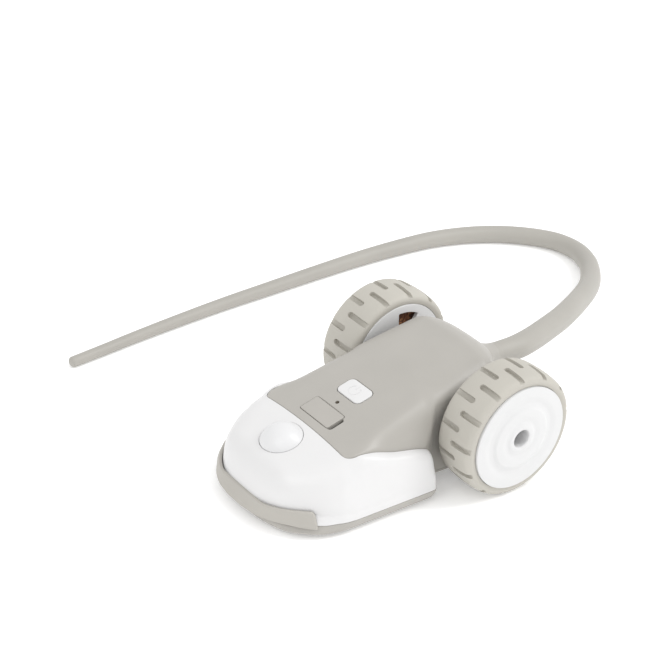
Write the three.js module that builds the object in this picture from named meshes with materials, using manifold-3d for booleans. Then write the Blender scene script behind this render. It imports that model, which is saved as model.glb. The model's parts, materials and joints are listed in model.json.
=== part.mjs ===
// A robotic mouse toy for cats: a wedge-shaped body on two geared drive wheels and a small front roller,
// with a motion-sensor dome in the nose, a charging port under a rubber flap and a long silicone tail.
// Millimetres, +Z up, nose towards -Y. Lengths are measured from the point on the floor under the drive
// axle, and the finished group is then moved so that the body's box stands centred on the origin.
import * as THREE from "three";
import { mergeVertices } from "three/addons/utils/BufferGeometryUtils.js";
import Module from "manifold-3d";

const wasm = await Module();
wasm.setup();

// ---------------------------------------------------------------- driving dimensions
const AXLE_OFFSET = 31.1; // from the middle of the body's box back to the drive axle
const GAP = 0.3; // clearance between neighbouring pieces
const WALL = 1.6; // moulded wall thickness

const TYRE_RADIUS = 22.5;
const TYRE_SIDE_RADIUS = 19.0; // where the tyre's side meets the hub
const WHEEL_INNER = 23.8;
const WHEEL_OUTER = 40;
const HUB_FACE = 40.6; // the hub stands a little proud of the tyre
const TREAD_SLOTS = 13; // in each of the tyre's two rows
const SLOT_WIDTH = 2;
const SLOT_DEPTH = 1.5;
const SLOT_END = { outer: -0.8, inner: 1.7 }; // closed ends, from the middle of the tread
const TREAD_PHASE = { outer: 2.3, inner: 16.1 }; // degrees from straight ahead
const HUB_RADIUS = 18.7;
const HUB_HOLE_RADIUS = 3.2;
const HUB_HOLE_END = 33; // how far from the toy's middle the hole's tube reaches inwards
const HUB_TUBE_RADIUS = 5; // of the tube and boss in the middle of the hub
const AXLE_RADIUS = 1.5;
const AXLE_END = 31.8;
const HUB_WINDOWS = 4;

const BASE_BOTTOM = 1.5;
const BASE_TOP = 5;
const BELLY_BOTTOM = 3.9; // the base steps up between the wheels
const SHELL_BOTTOM = BASE_TOP + GAP;
const NOSE_FRONT = -83.4;
const SEAM = -58.6; // where the white cover meets the grey deck
const FENDER_HALF = 29.6;
const FENDER_REAR = -22.4;
const BODY_HALF = 21.5; // between the wheels
const BODY_REAR = 17.5;
const BUMPER_TOP = 9;
const BUMPER_BACK = -70.8;
const BUMPER_THICK = 1.3;

const DECK_SLOPE = 0.281;
const DECK_ANGLE = Math.atan(DECK_SLOPE);
const DECK_ORIGIN = new THREE.Vector3(0, -51.53, 27.44); // middle of the port flap, on the deck
const DECK_CROWN = 1.5;
const RIDGE_HALF = 21.2;

// Distances along the deck from the middle of the port flap.
const DOME_U = -16.7;
const LIGHT_U = 6.3;
const BUTTON_U = 13.7;
const LIGHT_RADIUS = 0.5;
const DOME_RADIUS = 7.2;
const DOME_HEIGHT = 3.9;
const FLAP = { x: 15, u: 7.4, thick: 1.4 };
const BUTTON = { x: 11.8, u: 7.5, corner: 2 };
const BUTTON_TRAVEL = 0.6;
const BOARD_DEPTH = 7; // of the main board's top below the deck

const MODULE = 0.6;
const TEETH = { pinion: 9, large: 24, small: 10, output: 26 };
const GEAR_CENTRE_ANGLE = 160; // of the compound gear seen from the axle, degrees
const MOTOR_ANGLE = 195; // of the motor seen from the compound gear, degrees
const MOTOR = { radius: 6, from: 0.7, to: 11.5 };

const ROLLER = { y: -64, radius: 4.5, half: 6, pin: 1 };
const TAIL = { root: 4.35, tip: 2.0, sides: 8, steps: 64, exitZ: 27 };

// The tail's centre line: straight out of the rear, down to the floor, round and forward beside the toy.
const TAIL_ROUTE = [
  [0, 24.4, 27],
  [0, 28, 27],
  [0, 33.5, 26.9],
  [-1.5, 40, 26.4],
  [-4.4, 47.6, 25.3],
  [-8.9, 58, 23.7],
  [-14.2, 69, 21.6],
  [-20.2, 79.8, 19.4],
  [-26.6, 90.2, 16.8],
  [-32.6, 99.6, 14.6],
  [-38.8, 108.4, 12.2],
  [-45.4, 116.6, 9.9],
  [-52.4, 124, 7.9],
  [-58.6, 129.8, 6.4],
  [-65.4, 135, 5.2],
  [-76.2, 139.6, 4.2],
  [-87.1, 138.8, 3.8],
  [-96.3, 133, 3.6],
  [-104.6, 123.6, 3.5],
  [-109.6, 115, 3.4],
  [-113.4, 105.3, 3.35],
  [-116.3, 92.9, 3.3],
  [-117.5, 77.7, 3.2],
  [-117.7, 57.6, 3.1],
  [-116.7, 33.2, 2.9],
  [-115.2, 9.9, 2.8],
  [-113.8, -13.2, 2.6],
  [-111.6, -35.2, 2.5],
  [-109, -57.4, 2.3],
  [-107.4, -68.2, 2.25],
  [-106.2, -77.2, 2.2],
  [-105.3, -84.2, 2.15],
].map(([x, y, z]) => new THREE.Vector3(x, y, z));

// ---------------------------------------------------------------- materials
function material(color, roughness, metalness = 0) {
  return new THREE.MeshStandardMaterial({ color, roughness, metalness });
}
const MATTE_GREY = material("#bebab2", 0.6);
const RUBBER_GREY = material("#c4c0b6", 0.75);
const GLOSS_WHITE = material("#f1f0ef", 0.35);
const DOME_WHITE = material("#f4f4f4", 0.4);
const HERB_BROWN = material("#5a3522", 0.95);
const STEEL = material("#b9bbbd", 0.3, 1);
const BRASS = material("#c9a34e", 0.35, 1);
const GEAR_NYLON = material("#e9e6da", 0.5);
const BOARD_GREEN = material("#1f5a38", 0.5);
const BLACK_PLASTIC = material("#26262a", 0.5);
const BATTERY_SLEEVE = material("#4a6f9c", 0.45);
const LIGHT_CLEAR = material("#8a7a5c", 0.2);

// ---------------------------------------------------------------- solids and frames
// A closed geometry as a manifold-3d solid, turned right side out.
function solid(geometry) {
  const bare = geometry.clone();
  bare.deleteAttribute("normal");
  bare.deleteAttribute("uv");
  const merged = mergeVertices(bare, 1e-4);
  const make = (flip) => {
    const triVerts = new Uint32Array(merged.index.array);
    for (let i = 0; flip && i < triVerts.length; i += 3) {
      [triVerts[i + 1], triVerts[i + 2]] = [triVerts[i + 2], triVerts[i + 1]];
    }
    const vertProperties = new Float32Array(merged.attributes.position.array);
    return new wasm.Manifold(new wasm.Mesh({ numProp: 3, vertProperties, triVerts }));
  };
  const made = make(false);
  return made.volume() < 0 ? make(true) : made;
}

function geometryOf(body) {
  const mesh = body.getMesh();
  const geometry = new THREE.BufferGeometry();
  geometry.setAttribute("position", new THREE.BufferAttribute(mesh.vertProperties, 3));
  geometry.setIndex(new THREE.BufferAttribute(mesh.triVerts, 1));
  geometry.computeVertexNormals();
  return geometry;
}

const cut = (body, ...tools) => tools.reduce((left, tool) => left.subtract(tool), body);
const join = (...bodies) => bodies.reduce((all, body) => all.add(body));

function piece(name, body, look) {
  const mesh = new THREE.Mesh(geometryOf(body), look);
  mesh.name = name;
  return mesh;
}

// Turns a shape drawn as (y, z) and extruded into one that runs along +X.
const ALONG_X = new THREE.Matrix4().makeBasis(
  new THREE.Vector3(0, 1, 0),
  new THREE.Vector3(0, 0, 1),
  new THREE.Vector3(1, 0, 0),
);

function extrude(shape, depth) {
  return new THREE.ExtrudeGeometry(shape, { depth, bevelEnabled: false, curveSegments: 2 });
}

function slabZ(shape, low, high) {
  return solid(extrude(shape, high - low).translate(0, 0, low));
}

function slabX(shape, low, high) {
  return solid(extrude(shape, high - low).applyMatrix4(ALONG_X).translate(low, 0, 0));
}

function box([x0, y0, z0], [x1, y1, z1]) {
  const geometry = new THREE.BoxGeometry(x1 - x0, y1 - y0, z1 - z0);
  return solid(geometry.translate((x0 + x1) / 2, (y0 + y1) / 2, (z0 + z1) / 2));
}

function rodX(radius, low, high, y, z, segments = 24) {
  const geometry = new THREE.CylinderGeometry(radius, radius, high - low, segments);
  return solid(geometry.rotateZ(-Math.PI / 2).translate((low + high) / 2, y, z));
}

function rodZ(radius, low, high, x, y, segments = 24) {
  const geometry = new THREE.CylinderGeometry(radius, radius, high - low, segments);
  return solid(geometry.rotateX(Math.PI / 2).translate(x, y, (low + high) / 2));
}

// A closed ring profile of [radius, along] points, turned about the wheel axle's own line.
function turnedX(profile, segments, y = 0, z = TYRE_RADIUS) {
  const points = [...profile, profile[0]].map(([radius, along]) => new THREE.Vector2(radius, along));
  const geometry = new THREE.LatheGeometry(points, segments);
  return solid(geometry.rotateZ(-Math.PI / 2).translate(0, y, z));
}

function roundedRectangle(width, height, corner) {
  const [w, h] = [width / 2, height / 2];
  const shape = new THREE.Shape();
  shape.moveTo(-w + corner, -h);
  shape.lineTo(w - corner, -h);
  shape.absarc(w - corner, -h + corner, corner, -Math.PI / 2, 0);
  shape.lineTo(w, h - corner);
  shape.absarc(w - corner, h - corner, corner, 0, Math.PI / 2);
  shape.lineTo(-w + corner, h);
  shape.absarc(-w + corner, h - corner, corner, Math.PI / 2, Math.PI);
  shape.lineTo(-w, -h + corner);
  shape.absarc(-w + corner, -h + corner, corner, Math.PI, Math.PI * 1.5);
  return shape;
}

// A closed skin over rings that hold the same number of points, with a flat end at each.
function loft(rings) {
  const count = rings[0].length;
  const positions = rings.flat().flatMap((point) => [point.x, point.y, point.z]);
  const index = [];
  for (let ring = 0; ring + 1 < rings.length; ring++) {
    for (let i = 0; i < count; i++) {
      const [a, b] = [ring * count + i, ring * count + ((i + 1) % count)];
      index.push(a, b, a + count, b, b + count, a + count);
    }
  }
  const cap = (ring, turned) => {
    const flat = ring.map((point) => new THREE.Vector2(point.x, point.z));
    const start = rings.indexOf(ring) * count;
    THREE.ShapeUtils.triangulateShape(flat, []).forEach(([a, b, c]) => {
      index.push(...(turned ? [a, c, b] : [a, b, c]).map((corner) => corner + start));
    });
  };
  const clockwise = THREE.ShapeUtils.isClockWise(rings[0].map((p) => new THREE.Vector2(p.x, p.z)));
  cap(rings[0], !clockwise);
  cap(rings[rings.length - 1], clockwise);
  const geometry = new THREE.BufferGeometry();
  geometry.setAttribute("position", new THREE.Float32BufferAttribute(positions, 3));
  geometry.setIndex(index);
  return solid(geometry);
}

// A value that follows [place, value] stops, straight between them and level beyond the ends.
function follow(stops) {
  return (place) => {
    const next = stops.findIndex(([stop]) => stop >= place);
    if (next === 0) return stops[0][1];
    if (next < 0) return stops[stops.length - 1][1];
    const [[a, low], [b, high]] = [stops[next - 1], stops[next]];
    return low + ((high - low) * (place - a)) / (b - a);
  };
}

const deckHeight = (y) => DECK_ORIGIN.z + DECK_SLOPE * (y - DECK_ORIGIN.y);

// ---------------------------------------------------------------- the body's outline
// Half the width of the cover at its lower edge and at its corner, and of the base.
const noseFoot = follow([
  [NOSE_FRONT, 4.8],
  [-82.5, 10],
  [-81, 13.8],
  [-79.4, 16.5],
  [-77.6, 18.9],
  [-72, 25.2],
  [-68, 28],
  [-65.6, 28.6],
  [-61.5, FENDER_HALF + 0.2],
  [-26, FENDER_HALF + 0.5],
  [-24, 28.8],
  [FENDER_REAR, 24.4],
]);
const noseHalf = follow([
  [NOSE_FRONT, 3],
  [-82.5, 7.6],
  [-81, 12],
  [-79.4, 15],
  [-77.6, 17.7],
  [-72, 23],
  [-68, 26],
  [-65.6, 27.5],
  [-61.5, 29.1],
  [-26, 29.7],
  [-24, 28.4],
  [FENDER_REAR, 24],
]);
const baseHalf = follow([
  [NOSE_FRONT, 5],
  [-82.3, 12],
  [-79.9, 18.4],
  [-78, 21],
  [-73.1, 25.4],
  [-69, 27.9],
  [-65.6, 29],
  [-61.5, FENDER_HALF],
  [-26, FENDER_HALF],
  [-23.4, 27.4],
  [FENDER_REAR, 24],
]);
const noseTop = follow([
  [NOSE_FRONT, 7.4],
  [-82.5, 8.8],
  [-81, 11.6],
  [-79.4, 16.2],
  [-77.6, 18.7],
  [-75.5, 20.4],
  [-72, deckHeight(-72)],
  [-56, deckHeight(-56)],
  [-54, 26.1],
  [-41, 24],
  [-28, 21],
  [-26, 19.6],
  [-24, 12],
  [FENDER_REAR, 8.4],
]);
// Half the width of the cover's top, where its side turns over.
const noseRidge = follow([
  [NOSE_FRONT, 2],
  [-81, 10.2],
  [-77.6, 16.2],
  [-72, 21],
  [-65.6, 24.4],
  [SEAM, 25.2],
  [-50, 27.6],
  [-26, 28],
  [FENDER_REAR, 23.6],
]);
const noseRounding = follow([
  [NOSE_FRONT, 2],
  [-77.6, 7.5],
  [-70, 10],
  [SEAM, 8],
  [-50, 3],
]);
const NOSE_STATIONS = [
  -82.5, -81, -79.4, -77.6, -75.5, -72, -68, -65.6, -61.5, SEAM, -56, -54, -50, -41, -28, -26, -24,
];

// A shell section at y: side, slanted shoulder, rounded ridge and crowned top. The corner is where the
// side meets the shoulder, the flare is how far the side leans out at its foot, and the inset makes the
// inner skin.
function shellSection(y, inset, corner, ridge, top, rounding, flare = 0) {
  const middle = new THREE.Vector2(0, top);
  const reach = (towards) => Math.min(rounding / ridge.distanceTo(towards), 0.95);
  const curve = new THREE.QuadraticBezierCurve(
    ridge.clone().lerp(corner, reach(corner)),
    ridge,
    ridge.clone().lerp(middle, reach(middle)),
  );
  const bottom = SHELL_BOTTOM - (inset === 0 ? 0 : 1);
  const foot = corner.x + (flare * (corner.y - bottom)) / (corner.y - SHELL_BOTTOM);
  const right = [new THREE.Vector2(foot, bottom), corner, ...curve.getPoints(5)];
  right.push(new THREE.Vector2(ridge.x / 2, top - DECK_CROWN * 0.2));
  const left = right.map((point) => new THREE.Vector2(-point.x, point.y)).reverse();
  return [...right, middle, ...left].map((point) => new THREE.Vector3(point.x, y, point.y));
}

function noseSection(y, inset) {
  const top = noseTop(y) - inset;
  const ridge = new THREE.Vector2(noseRidge(y) - inset, top - DECK_CROWN * 0.9);
  const height = SHELL_BOTTOM + Math.min(4, (ridge.y - SHELL_BOTTOM) * 0.4);
  const corner = new THREE.Vector2(noseHalf(y) - inset, height);
  const flare = noseFoot(y) - noseHalf(y);
  return shellSection(y, inset, corner, ridge, top, noseRounding(y), flare);
}

function noseBody(inset) {
  const front = NOSE_FRONT + inset;
  const back = FENDER_REAR - inset;
  const stations = [front, ...NOSE_STATIONS.filter((y) => y > front + 0.2 && y < back - 0.2), back];
  return loft(stations.map((y) => noseSection(y, inset)));
}

const sideHalf = follow([
  [SEAM, 20.4],
  [-57.4, 22.4],
  [-55.6, 23.6],
  [-50, 24.4],
  [-26, 25.3],
  [-20.5, BODY_HALF],
  [5, BODY_HALF],
  [10, 20.6],
  [14, 18],
  [BODY_REAR, 11],
]);
const sideTop = follow([
  [SEAM, deckHeight(SEAM) - DECK_CROWN],
  [-55.6, 24.7],
  [-50, 24.4],
  [-26, 18.7],
  [-20.5, 30],
  [0, 28.5],
  [10, 26],
  [BODY_REAR, 22],
]);
const bodyTop = follow([
  [SEAM, deckHeight(SEAM)],
  [-9, deckHeight(-9)],
  [-2, 41],
  [2, 41.7],
  [5, 41.1],
  [8, 39.2],
  [11, 37],
  [14, 34.8],
  [BODY_REAR, 32.6],
]);
const ridgeRounding = follow([
  [SEAM, 2],
  [-30, 3],
  [-20.5, 6],
  [0, 12],
  [BODY_REAR, 14],
]);
const BODY_STATIONS = [-57.4, -55.6, -50, -41, -26, -20.5, -10, 0, 2, 5, 8, 11, 14];

function bodySection(y, inset) {
  const half = sideHalf(y) - inset;
  const top = bodyTop(y) - inset;
  const ridge = new THREE.Vector2(Math.min(RIDGE_HALF - inset, half), top - DECK_CROWN * 0.9);
  const corner = new THREE.Vector2(half, Math.min(sideTop(y) - inset * 0.5, ridge.y - 0.2));
  return shellSection(y, inset, corner, ridge, top, ridgeRounding(y));
}

function greyBody(inset, front, back) {
  const stations = [front, ...BODY_STATIONS.filter((y) => y > front + 0.2 && y < back - 0.2), back];
  return loft(stations.map((y) => bodySection(y, inset)));
}

// ---------------------------------------------------------------- the deck's own frame
// x across, y up along the deck, z out of it, from the middle of the port flap.
function deckFrame() {
  const frame = new THREE.Group();
  frame.position.copy(DECK_ORIGIN);
  frame.rotation.x = DECK_ANGLE;
  frame.updateMatrix();
  return frame;
}
const ONTO_DECK = deckFrame().matrix.toArray();
const onDeck = (body) => body.transform(ONTO_DECK);

function deckHole(width, height, corner, u, x = 0) {
  return onDeck(slabZ(roundedRectangle(width, height, corner), -5, 4).translate([x, u, 0]));
}

function deckRod(radius, low, high, x, u, segments = 24) {
  return onDeck(rodZ(radius, low, high, x, u, segments));
}

// ---------------------------------------------------------------- body shells
const SCREWS = [
  { name: "front_left", x: 20, y: -64, into: "nose" },
  { name: "front_right", x: -20, y: -64, into: "nose" },
  { name: "rear_left", x: 13, y: 11, into: "body" },
  { name: "rear_right", x: -13, y: 11, into: "body" },
];
const BOSS_RADIUS = 2.8;
const SCREW_RADIUS = 1.1;

function boss({ x, y, into }) {
  const envelope = into === "nose" ? noseBody(0.4) : greyBody(0.4, SEAM + GAP, BODY_REAR);
  const post = rodZ(BOSS_RADIUS, SHELL_BOTTOM, 40, x, y, 12).intersect(envelope);
  return post.subtract(rodZ(SCREW_RADIUS + GAP, 0, 15, x, y, 12));
}

function upperShell() {
  const hollow = greyBody(WALL, SEAM - 1, BODY_REAR - WALL);
  const openings = [
    deckHole(FLAP.x + 0.6, FLAP.u + 0.6, 0.9, 0),
    deckHole(2.2, 3.6, 0.8, 0, FLAP.x / 2 + 0.3),
    deckHole(BUTTON.x + 0.6, BUTTON.u + 0.6, BUTTON.corner + 0.3, BUTTON_U),
    deckRod(LIGHT_RADIUS + GAP, -5, 4, 0, LIGHT_U, 12),
    rodX(3.6, -30, 30, 0, TYRE_RADIUS),
    solid(new THREE.CylinderGeometry(2.6, 2.6, 8, 16).translate(0, BODY_REAR, TAIL.exitZ)),
  ];
  const pegs = [-1, 1].flatMap((side) =>
    [-3, 18].map((u) => deckRod(1.3, -BOARD_DEPTH + GAP, -WALL + 0.2, 13 * side, u, 8)),
  );
  const shell = cut(greyBody(0, SEAM + GAP, BODY_REAR), hollow, ...openings);
  return join(shell, ...pegs, ...SCREWS.filter((screw) => screw.into === "body").map(boss));
}

function noseCover() {
  const grey = greyBody(-GAP, SEAM, -15);
  const hollow = noseBody(WALL);
  const pegs = [-7.6, 7.6].map((x) => deckRod(1, -8.9, -WALL + 0.2, x, DOME_U + 6.6, 8));
  const skin = cut(noseBody(0), hollow, grey, deckRod(DOME_RADIUS + GAP, -5, 5, 0, DOME_U));
  return join(skin, ...pegs, ...SCREWS.filter((screw) => screw.into === "nose").map(boss));
}

// The base's outline from above, moved in by an inset.
function baseOutline(inset) {
  const stations = [NOSE_FRONT, -82.3, -79.9, -78, -73.1, -69, -65.6, -61.5, -26, -23.4, FENDER_REAR];
  const nose = stations.map((y) => [baseHalf(y) - inset, y === NOSE_FRONT ? y + inset : y]);
  const rear = [
    [BODY_HALF - inset, -20.5],
    [BODY_HALF - inset, 8],
    [18.6 - inset, 13.6],
    [13 - inset, BODY_REAR - 0.5 - inset],
  ];
  const right = [...nose, ...rear];
  const left = right.map(([x, y]) => [-x, y]).reverse();
  return new THREE.Shape([...right, ...left].map(([x, y]) => new THREE.Vector2(x, y)));
}

function screwSeats(low, high, head) {
  return SCREWS.flatMap(({ x, y, into }) => {
    const floor = into === "nose" ? BASE_BOTTOM : BELLY_BOTTOM;
    return [rodZ(SCREW_RADIUS + GAP, low, high, x, y, 12), rodZ(head, 0, floor + 0.7, x, y, 16)];
  });
}

function basePlate() {
  const tray = slabZ(baseOutline(0), BASE_BOTTOM, BASE_TOP);
  const inside = slabZ(baseOutline(WALL), BASE_BOTTOM + 1.5, BASE_TOP + 1);
  const front = box([-40, -90, BASE_BOTTOM], [40, -21, BASE_TOP + 1]);
  const rear = box([-40, -21, BELLY_BOTTOM], [40, 40, BASE_TOP]);
  const floor = cut(tray, inside.intersect(front)).intersect(join(front, rear));
  const bosses = SCREWS.filter(({ into }) => into === "nose").map(({ x, y }) =>
    rodZ(BOSS_RADIUS, BASE_BOTTOM + 1, BASE_TOP, x, y, 12),
  );
  const saddles = [-1, 1].map((side) => {
    const [a, b] = [7 * side, 9.6 * side].sort((p, q) => p - q);
    return box([a, ROLLER.y - 2.6, BASE_BOTTOM + 1], [b, ROLLER.y + 2.6, 7]);
  });
  const well = box([-ROLLER.half - 0.6, ROLLER.y - 5.1, 0], [ROLLER.half + 0.6, ROLLER.y + 5.1, 9]);
  const pinHole = rodX(ROLLER.pin + GAP, -9.1, 9.1, ROLLER.y, ROLLER.radius, 12);
  return cut(join(floor, ...bosses, ...saddles), well, pinHole, ...screwSeats(0, 8, 2.4));
}

// A band of the nose's own shape, a little larger than the cover.
function frontBumper() {
  const band = box([-40, -90, SHELL_BOTTOM], [40, BUMPER_BACK, BUMPER_TOP]);
  return cut(noseBody(-BUMPER_THICK), noseBody(-1.5 * GAP)).intersect(band);
}

// ---------------------------------------------------------------- deck pieces
function sensorDome() {
  const sphere = (DOME_RADIUS ** 2 + DOME_HEIGHT ** 2) / (2 * DOME_HEIGHT);
  const reach = Math.asin(DOME_RADIUS / sphere);
  const profile = [new THREE.Vector2(0, -3.1), new THREE.Vector2(8.2, -3.1), new THREE.Vector2(8.2, -2.5)];
  for (let step = 0; step <= 5; step++) {
    const turn = reach * (1 - step / 5);
    const height = DOME_HEIGHT - sphere * (1 - Math.cos(turn));
    profile.push(new THREE.Vector2(sphere * Math.sin(turn), step === 0 ? -2.5 : height));
    if (step === 0) profile.push(new THREE.Vector2(DOME_RADIUS, height));
  }
  const outside = solid(new THREE.LatheGeometry(profile, 20).rotateX(Math.PI / 2));
  const inside = profile.map(({ x, y }) => new THREE.Vector2(Math.max(0, x - 1.2), y - 1));
  const bowl = inside.filter(({ x }, i) => i !== 2 && (i === 0 || i === inside.length - 1 || x > 0));
  const hollow = solid(new THREE.LatheGeometry(bowl, 20).rotateX(Math.PI / 2));
  return onDeck(outside.subtract(hollow).translate([0, DOME_U, 0]));
}

function portFlap() {
  const lid = slabZ(roundedRectangle(FLAP.x, FLAP.u, 0.7), -FLAP.thick, 0.15);
  const plug = slabZ(roundedRectangle(8, 2.2, 1), -2.3, -FLAP.thick + 0.1);
  return onDeck(join(lid, plug));
}

function chargeSocket() {
  const can = slabZ(roundedRectangle(9.2, 3.6, 1.6), -BOARD_DEPTH + GAP, -1.9);
  const mouth = slabZ(roundedRectangle(8.5, 2.8, 1.3), -6, -1);
  return onDeck(cut(can, mouth));
}

function powerButton() {
  const cap = slabZ(roundedRectangle(BUTTON.x, BUTTON.u, BUTTON.corner), -2.4, 0.35);
  const flange = slabZ(roundedRectangle(BUTTON.x + 2, BUTTON.u + 1.6, BUTTON.corner), -3.1, -2.2);
  return onDeck(join(cap, flange).translate([0, BUTTON_U, 0]));
}

function buttonSwitch() {
  const body = slabZ(roundedRectangle(6, 6, 0.4), -BOARD_DEPTH + GAP, -4.6);
  return onDeck(cut(body, rodZ(1.9, -5.6 - BUTTON_TRAVEL, -4, 0, 0, 16)).translate([0, BUTTON_U, 0]));
}

const switchPlunger = () => deckRod(1.6, -5.4, -3.4, 0, BUTTON_U, 16);
const lightGuide = () => deckRod(LIGHT_RADIUS, -BOARD_DEPTH + GAP, 0.05, 0, LIGHT_U, 12);

function mainBoard() {
  const sheet = slabZ(roundedRectangle(34, 27, 1), -BOARD_DEPTH - 1, -BOARD_DEPTH);
  return onDeck(sheet.translate([0, 7.6, 0]));
}

const sensorBoard = () =>
  onDeck(slabZ(roundedRectangle(18, 17, 1), -10.2, -9.2).translate([0, DOME_U, 0]));
const motionSensor = () => deckRod(4.6, -8.9, -4.4, 0, DOME_U, 20);

// ---------------------------------------------------------------- power and drive
const battery = () => box([-13, -54, 6.2], [13, -29, 12.4]);

const DEGREE = Math.PI / 180;
const pitchRadius = (teeth) => (MODULE * teeth) / 2;
const AXLE_AT = new THREE.Vector2(0, TYRE_RADIUS);

function stepFrom(centre, degrees, reach) {
  const turn = degrees * DEGREE;
  return new THREE.Vector2(centre.x + reach * Math.cos(turn), centre.y + reach * Math.sin(turn));
}
const COMPOUND_AT = stepFrom(AXLE_AT, GEAR_CENTRE_ANGLE, pitchRadius(TEETH.output + TEETH.small));
const MOTOR_AT = stepFrom(COMPOUND_AT, MOTOR_ANGLE, pitchRadius(TEETH.large + TEETH.pinion));

const TOOTH_ROOT = 0.62; // a tooth's width at its root and tip, as a part of the tooth pitch
const TOOTH_TIP = 0.16;

// A gear's outline round a centre, with one tooth pointing along the phase angle.
function gearOutline(teeth, centre, phase) {
  const pitch = pitchRadius(teeth);
  const [root, tip] = [pitch - 1.15 * MODULE, pitch + 0.85 * MODULE];
  const corners = [
    [root, -TOOTH_ROOT],
    [tip, -TOOTH_TIP],
    [tip, TOOTH_TIP],
    [root, TOOTH_ROOT],
  ];
  const points = [];
  for (let tooth = 0; tooth < teeth; tooth++) {
    const middle = phase * DEGREE + (tooth * 2 * Math.PI) / teeth;
    corners.forEach(([radius, width]) => {
      const turn = middle + (width * Math.PI) / teeth;
      points.push(new THREE.Vector2(Math.cos(turn), Math.sin(turn)).multiplyScalar(radius).add(centre));
    });
  }
  return new THREE.Shape(points);
}

const SPAN = {
  frame: [11.9, 12.9],
  large: [13.5, 15.4],
  small: [15.4, 18.2],
  output: [15.9, 18.1],
  cover: [18.8, 19.5],
};
const PIN_RADIUS = 0.8;

// Half a tooth pitch puts a gap, not a tooth, opposite the neighbour's tooth.
const gapPhase = (degrees, teeth) => degrees + 180 + 180 / teeth;

function outputGear() {
  const outline = gearOutline(TEETH.output, AXLE_AT, GEAR_CENTRE_ANGLE);
  return cut(slabX(outline, ...SPAN.output), rodX(AXLE_RADIUS + GAP, 0, 30, AXLE_AT.x, AXLE_AT.y, 16));
}

function compoundGear() {
  const small = gearOutline(TEETH.small, COMPOUND_AT, gapPhase(GEAR_CENTRE_ANGLE, TEETH.small));
  const large = gearOutline(TEETH.large, COMPOUND_AT, MOTOR_ANGLE);
  const wheel = join(slabX(large, ...SPAN.large), slabX(small, ...SPAN.small));
  return cut(wheel, rodX(PIN_RADIUS + GAP, 0, 30, COMPOUND_AT.x, COMPOUND_AT.y, 12));
}

function motorPinion() {
  const outline = gearOutline(TEETH.pinion, MOTOR_AT, gapPhase(MOTOR_ANGLE, TEETH.pinion));
  return join(slabX(outline, 13.4, 15.6), rodX(0.75, 12, 13.6, MOTOR_AT.x, MOTOR_AT.y, 12));
}

function motor() {
  const can = rodX(MOTOR.radius, MOTOR.from, MOTOR.to, MOTOR_AT.x, MOTOR_AT.y, 20);
  return cut(can, rodX(1.4, MOTOR.to - 0.6, MOTOR.to + 1, MOTOR_AT.x, MOTOR_AT.y, 12));
}

function gearPlate([low, high], posts) {
  const shape = new THREE.Shape();
  const corners = [
    [-27, 17],
    [-20, 5.4],
    [5, 5.4],
    [6, 26],
    [1, 31],
    [-9, 35.2],
    [-16, 33],
    [-26.5, 29.2],
  ];
  shape.setFromPoints(corners.map(([y, z]) => new THREE.Vector2(y, z)));
  const room = greyBody(WALL + GAP, -50, BODY_REAR - WALL);
  const plate = slabX(shape, low, high).intersect(room);
  const stand = posts ? [rodX(1.3, low, SPAN.cover[0] - GAP, 3.2, 8.6, 12)] : [];
  return cut(
    join(plate, ...stand),
    rodX(AXLE_RADIUS + GAP, 0, 30, AXLE_AT.x, AXLE_AT.y, 16),
    rodX(PIN_RADIUS + GAP, 0, 30, COMPOUND_AT.x, COMPOUND_AT.y, 12),
    rodX(1.4, 0, 30, MOTOR_AT.x, MOTOR_AT.y, 12),
  );
}

const gearPin = () => rodX(PIN_RADIUS, 11.9, 19.5, COMPOUND_AT.x, COMPOUND_AT.y, 12);

function axle() {
  const shaft = rodX(AXLE_RADIUS, 11.4, AXLE_END, AXLE_AT.x, AXLE_AT.y, 16);
  const flat = box([AXLE_END - 5, -2, TYRE_RADIUS + 1.1], [AXLE_END + 1, 2, TYRE_RADIUS + 3]);
  return shaft.subtract(flat);
}

function axleBush() {
  const profile = [
    [AXLE_RADIUS + GAP, 19.8],
    [3.3, 19.8],
    [3.3, 21.8],
    [4.6, 21.8],
    [4.6, 22.6],
    [AXLE_RADIUS + GAP, 22.6],
  ];
  return turnedX(profile, 16);
}

// ---------------------------------------------------------------- wheel pieces
function treadSlot(low, high, degrees) {
  const half = SLOT_WIDTH / 2;
  const slot = box([low, -half, TYRE_RADIUS - SLOT_DEPTH], [high, half, TYRE_RADIUS + 2]);
  return slot.rotate([90 - degrees, 0, 0]).translate([0, 0, TYRE_RADIUS]);
}

function tyre() {
  const middle = (WHEEL_INNER + WHEEL_OUTER) / 2;
  const half = WHEEL_OUTER - middle;
  const right = [
    [TYRE_SIDE_RADIUS, half],
    [20.6, half - 0.1],
    [21.7, half - 0.7],
    [22.3, half - 2],
    [TYRE_RADIUS, half - 4],
  ];
  const left = right.map(([r, x]) => [r, -x]).reverse();
  const ring = turnedX([...right, ...left].map(([r, x]) => [r, x + middle]), 40);
  const slots = [];
  for (let slot = 0; slot < TREAD_SLOTS; slot++) {
    const turn = (slot * 360) / TREAD_SLOTS;
    slots.push(treadSlot(middle + SLOT_END.outer, WHEEL_OUTER + 1, TREAD_PHASE.outer + turn));
    slots.push(treadSlot(WHEEL_INNER - 1, middle + SLOT_END.inner, TREAD_PHASE.inner + turn));
  }
  return cut(ring, ...slots);
}

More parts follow.
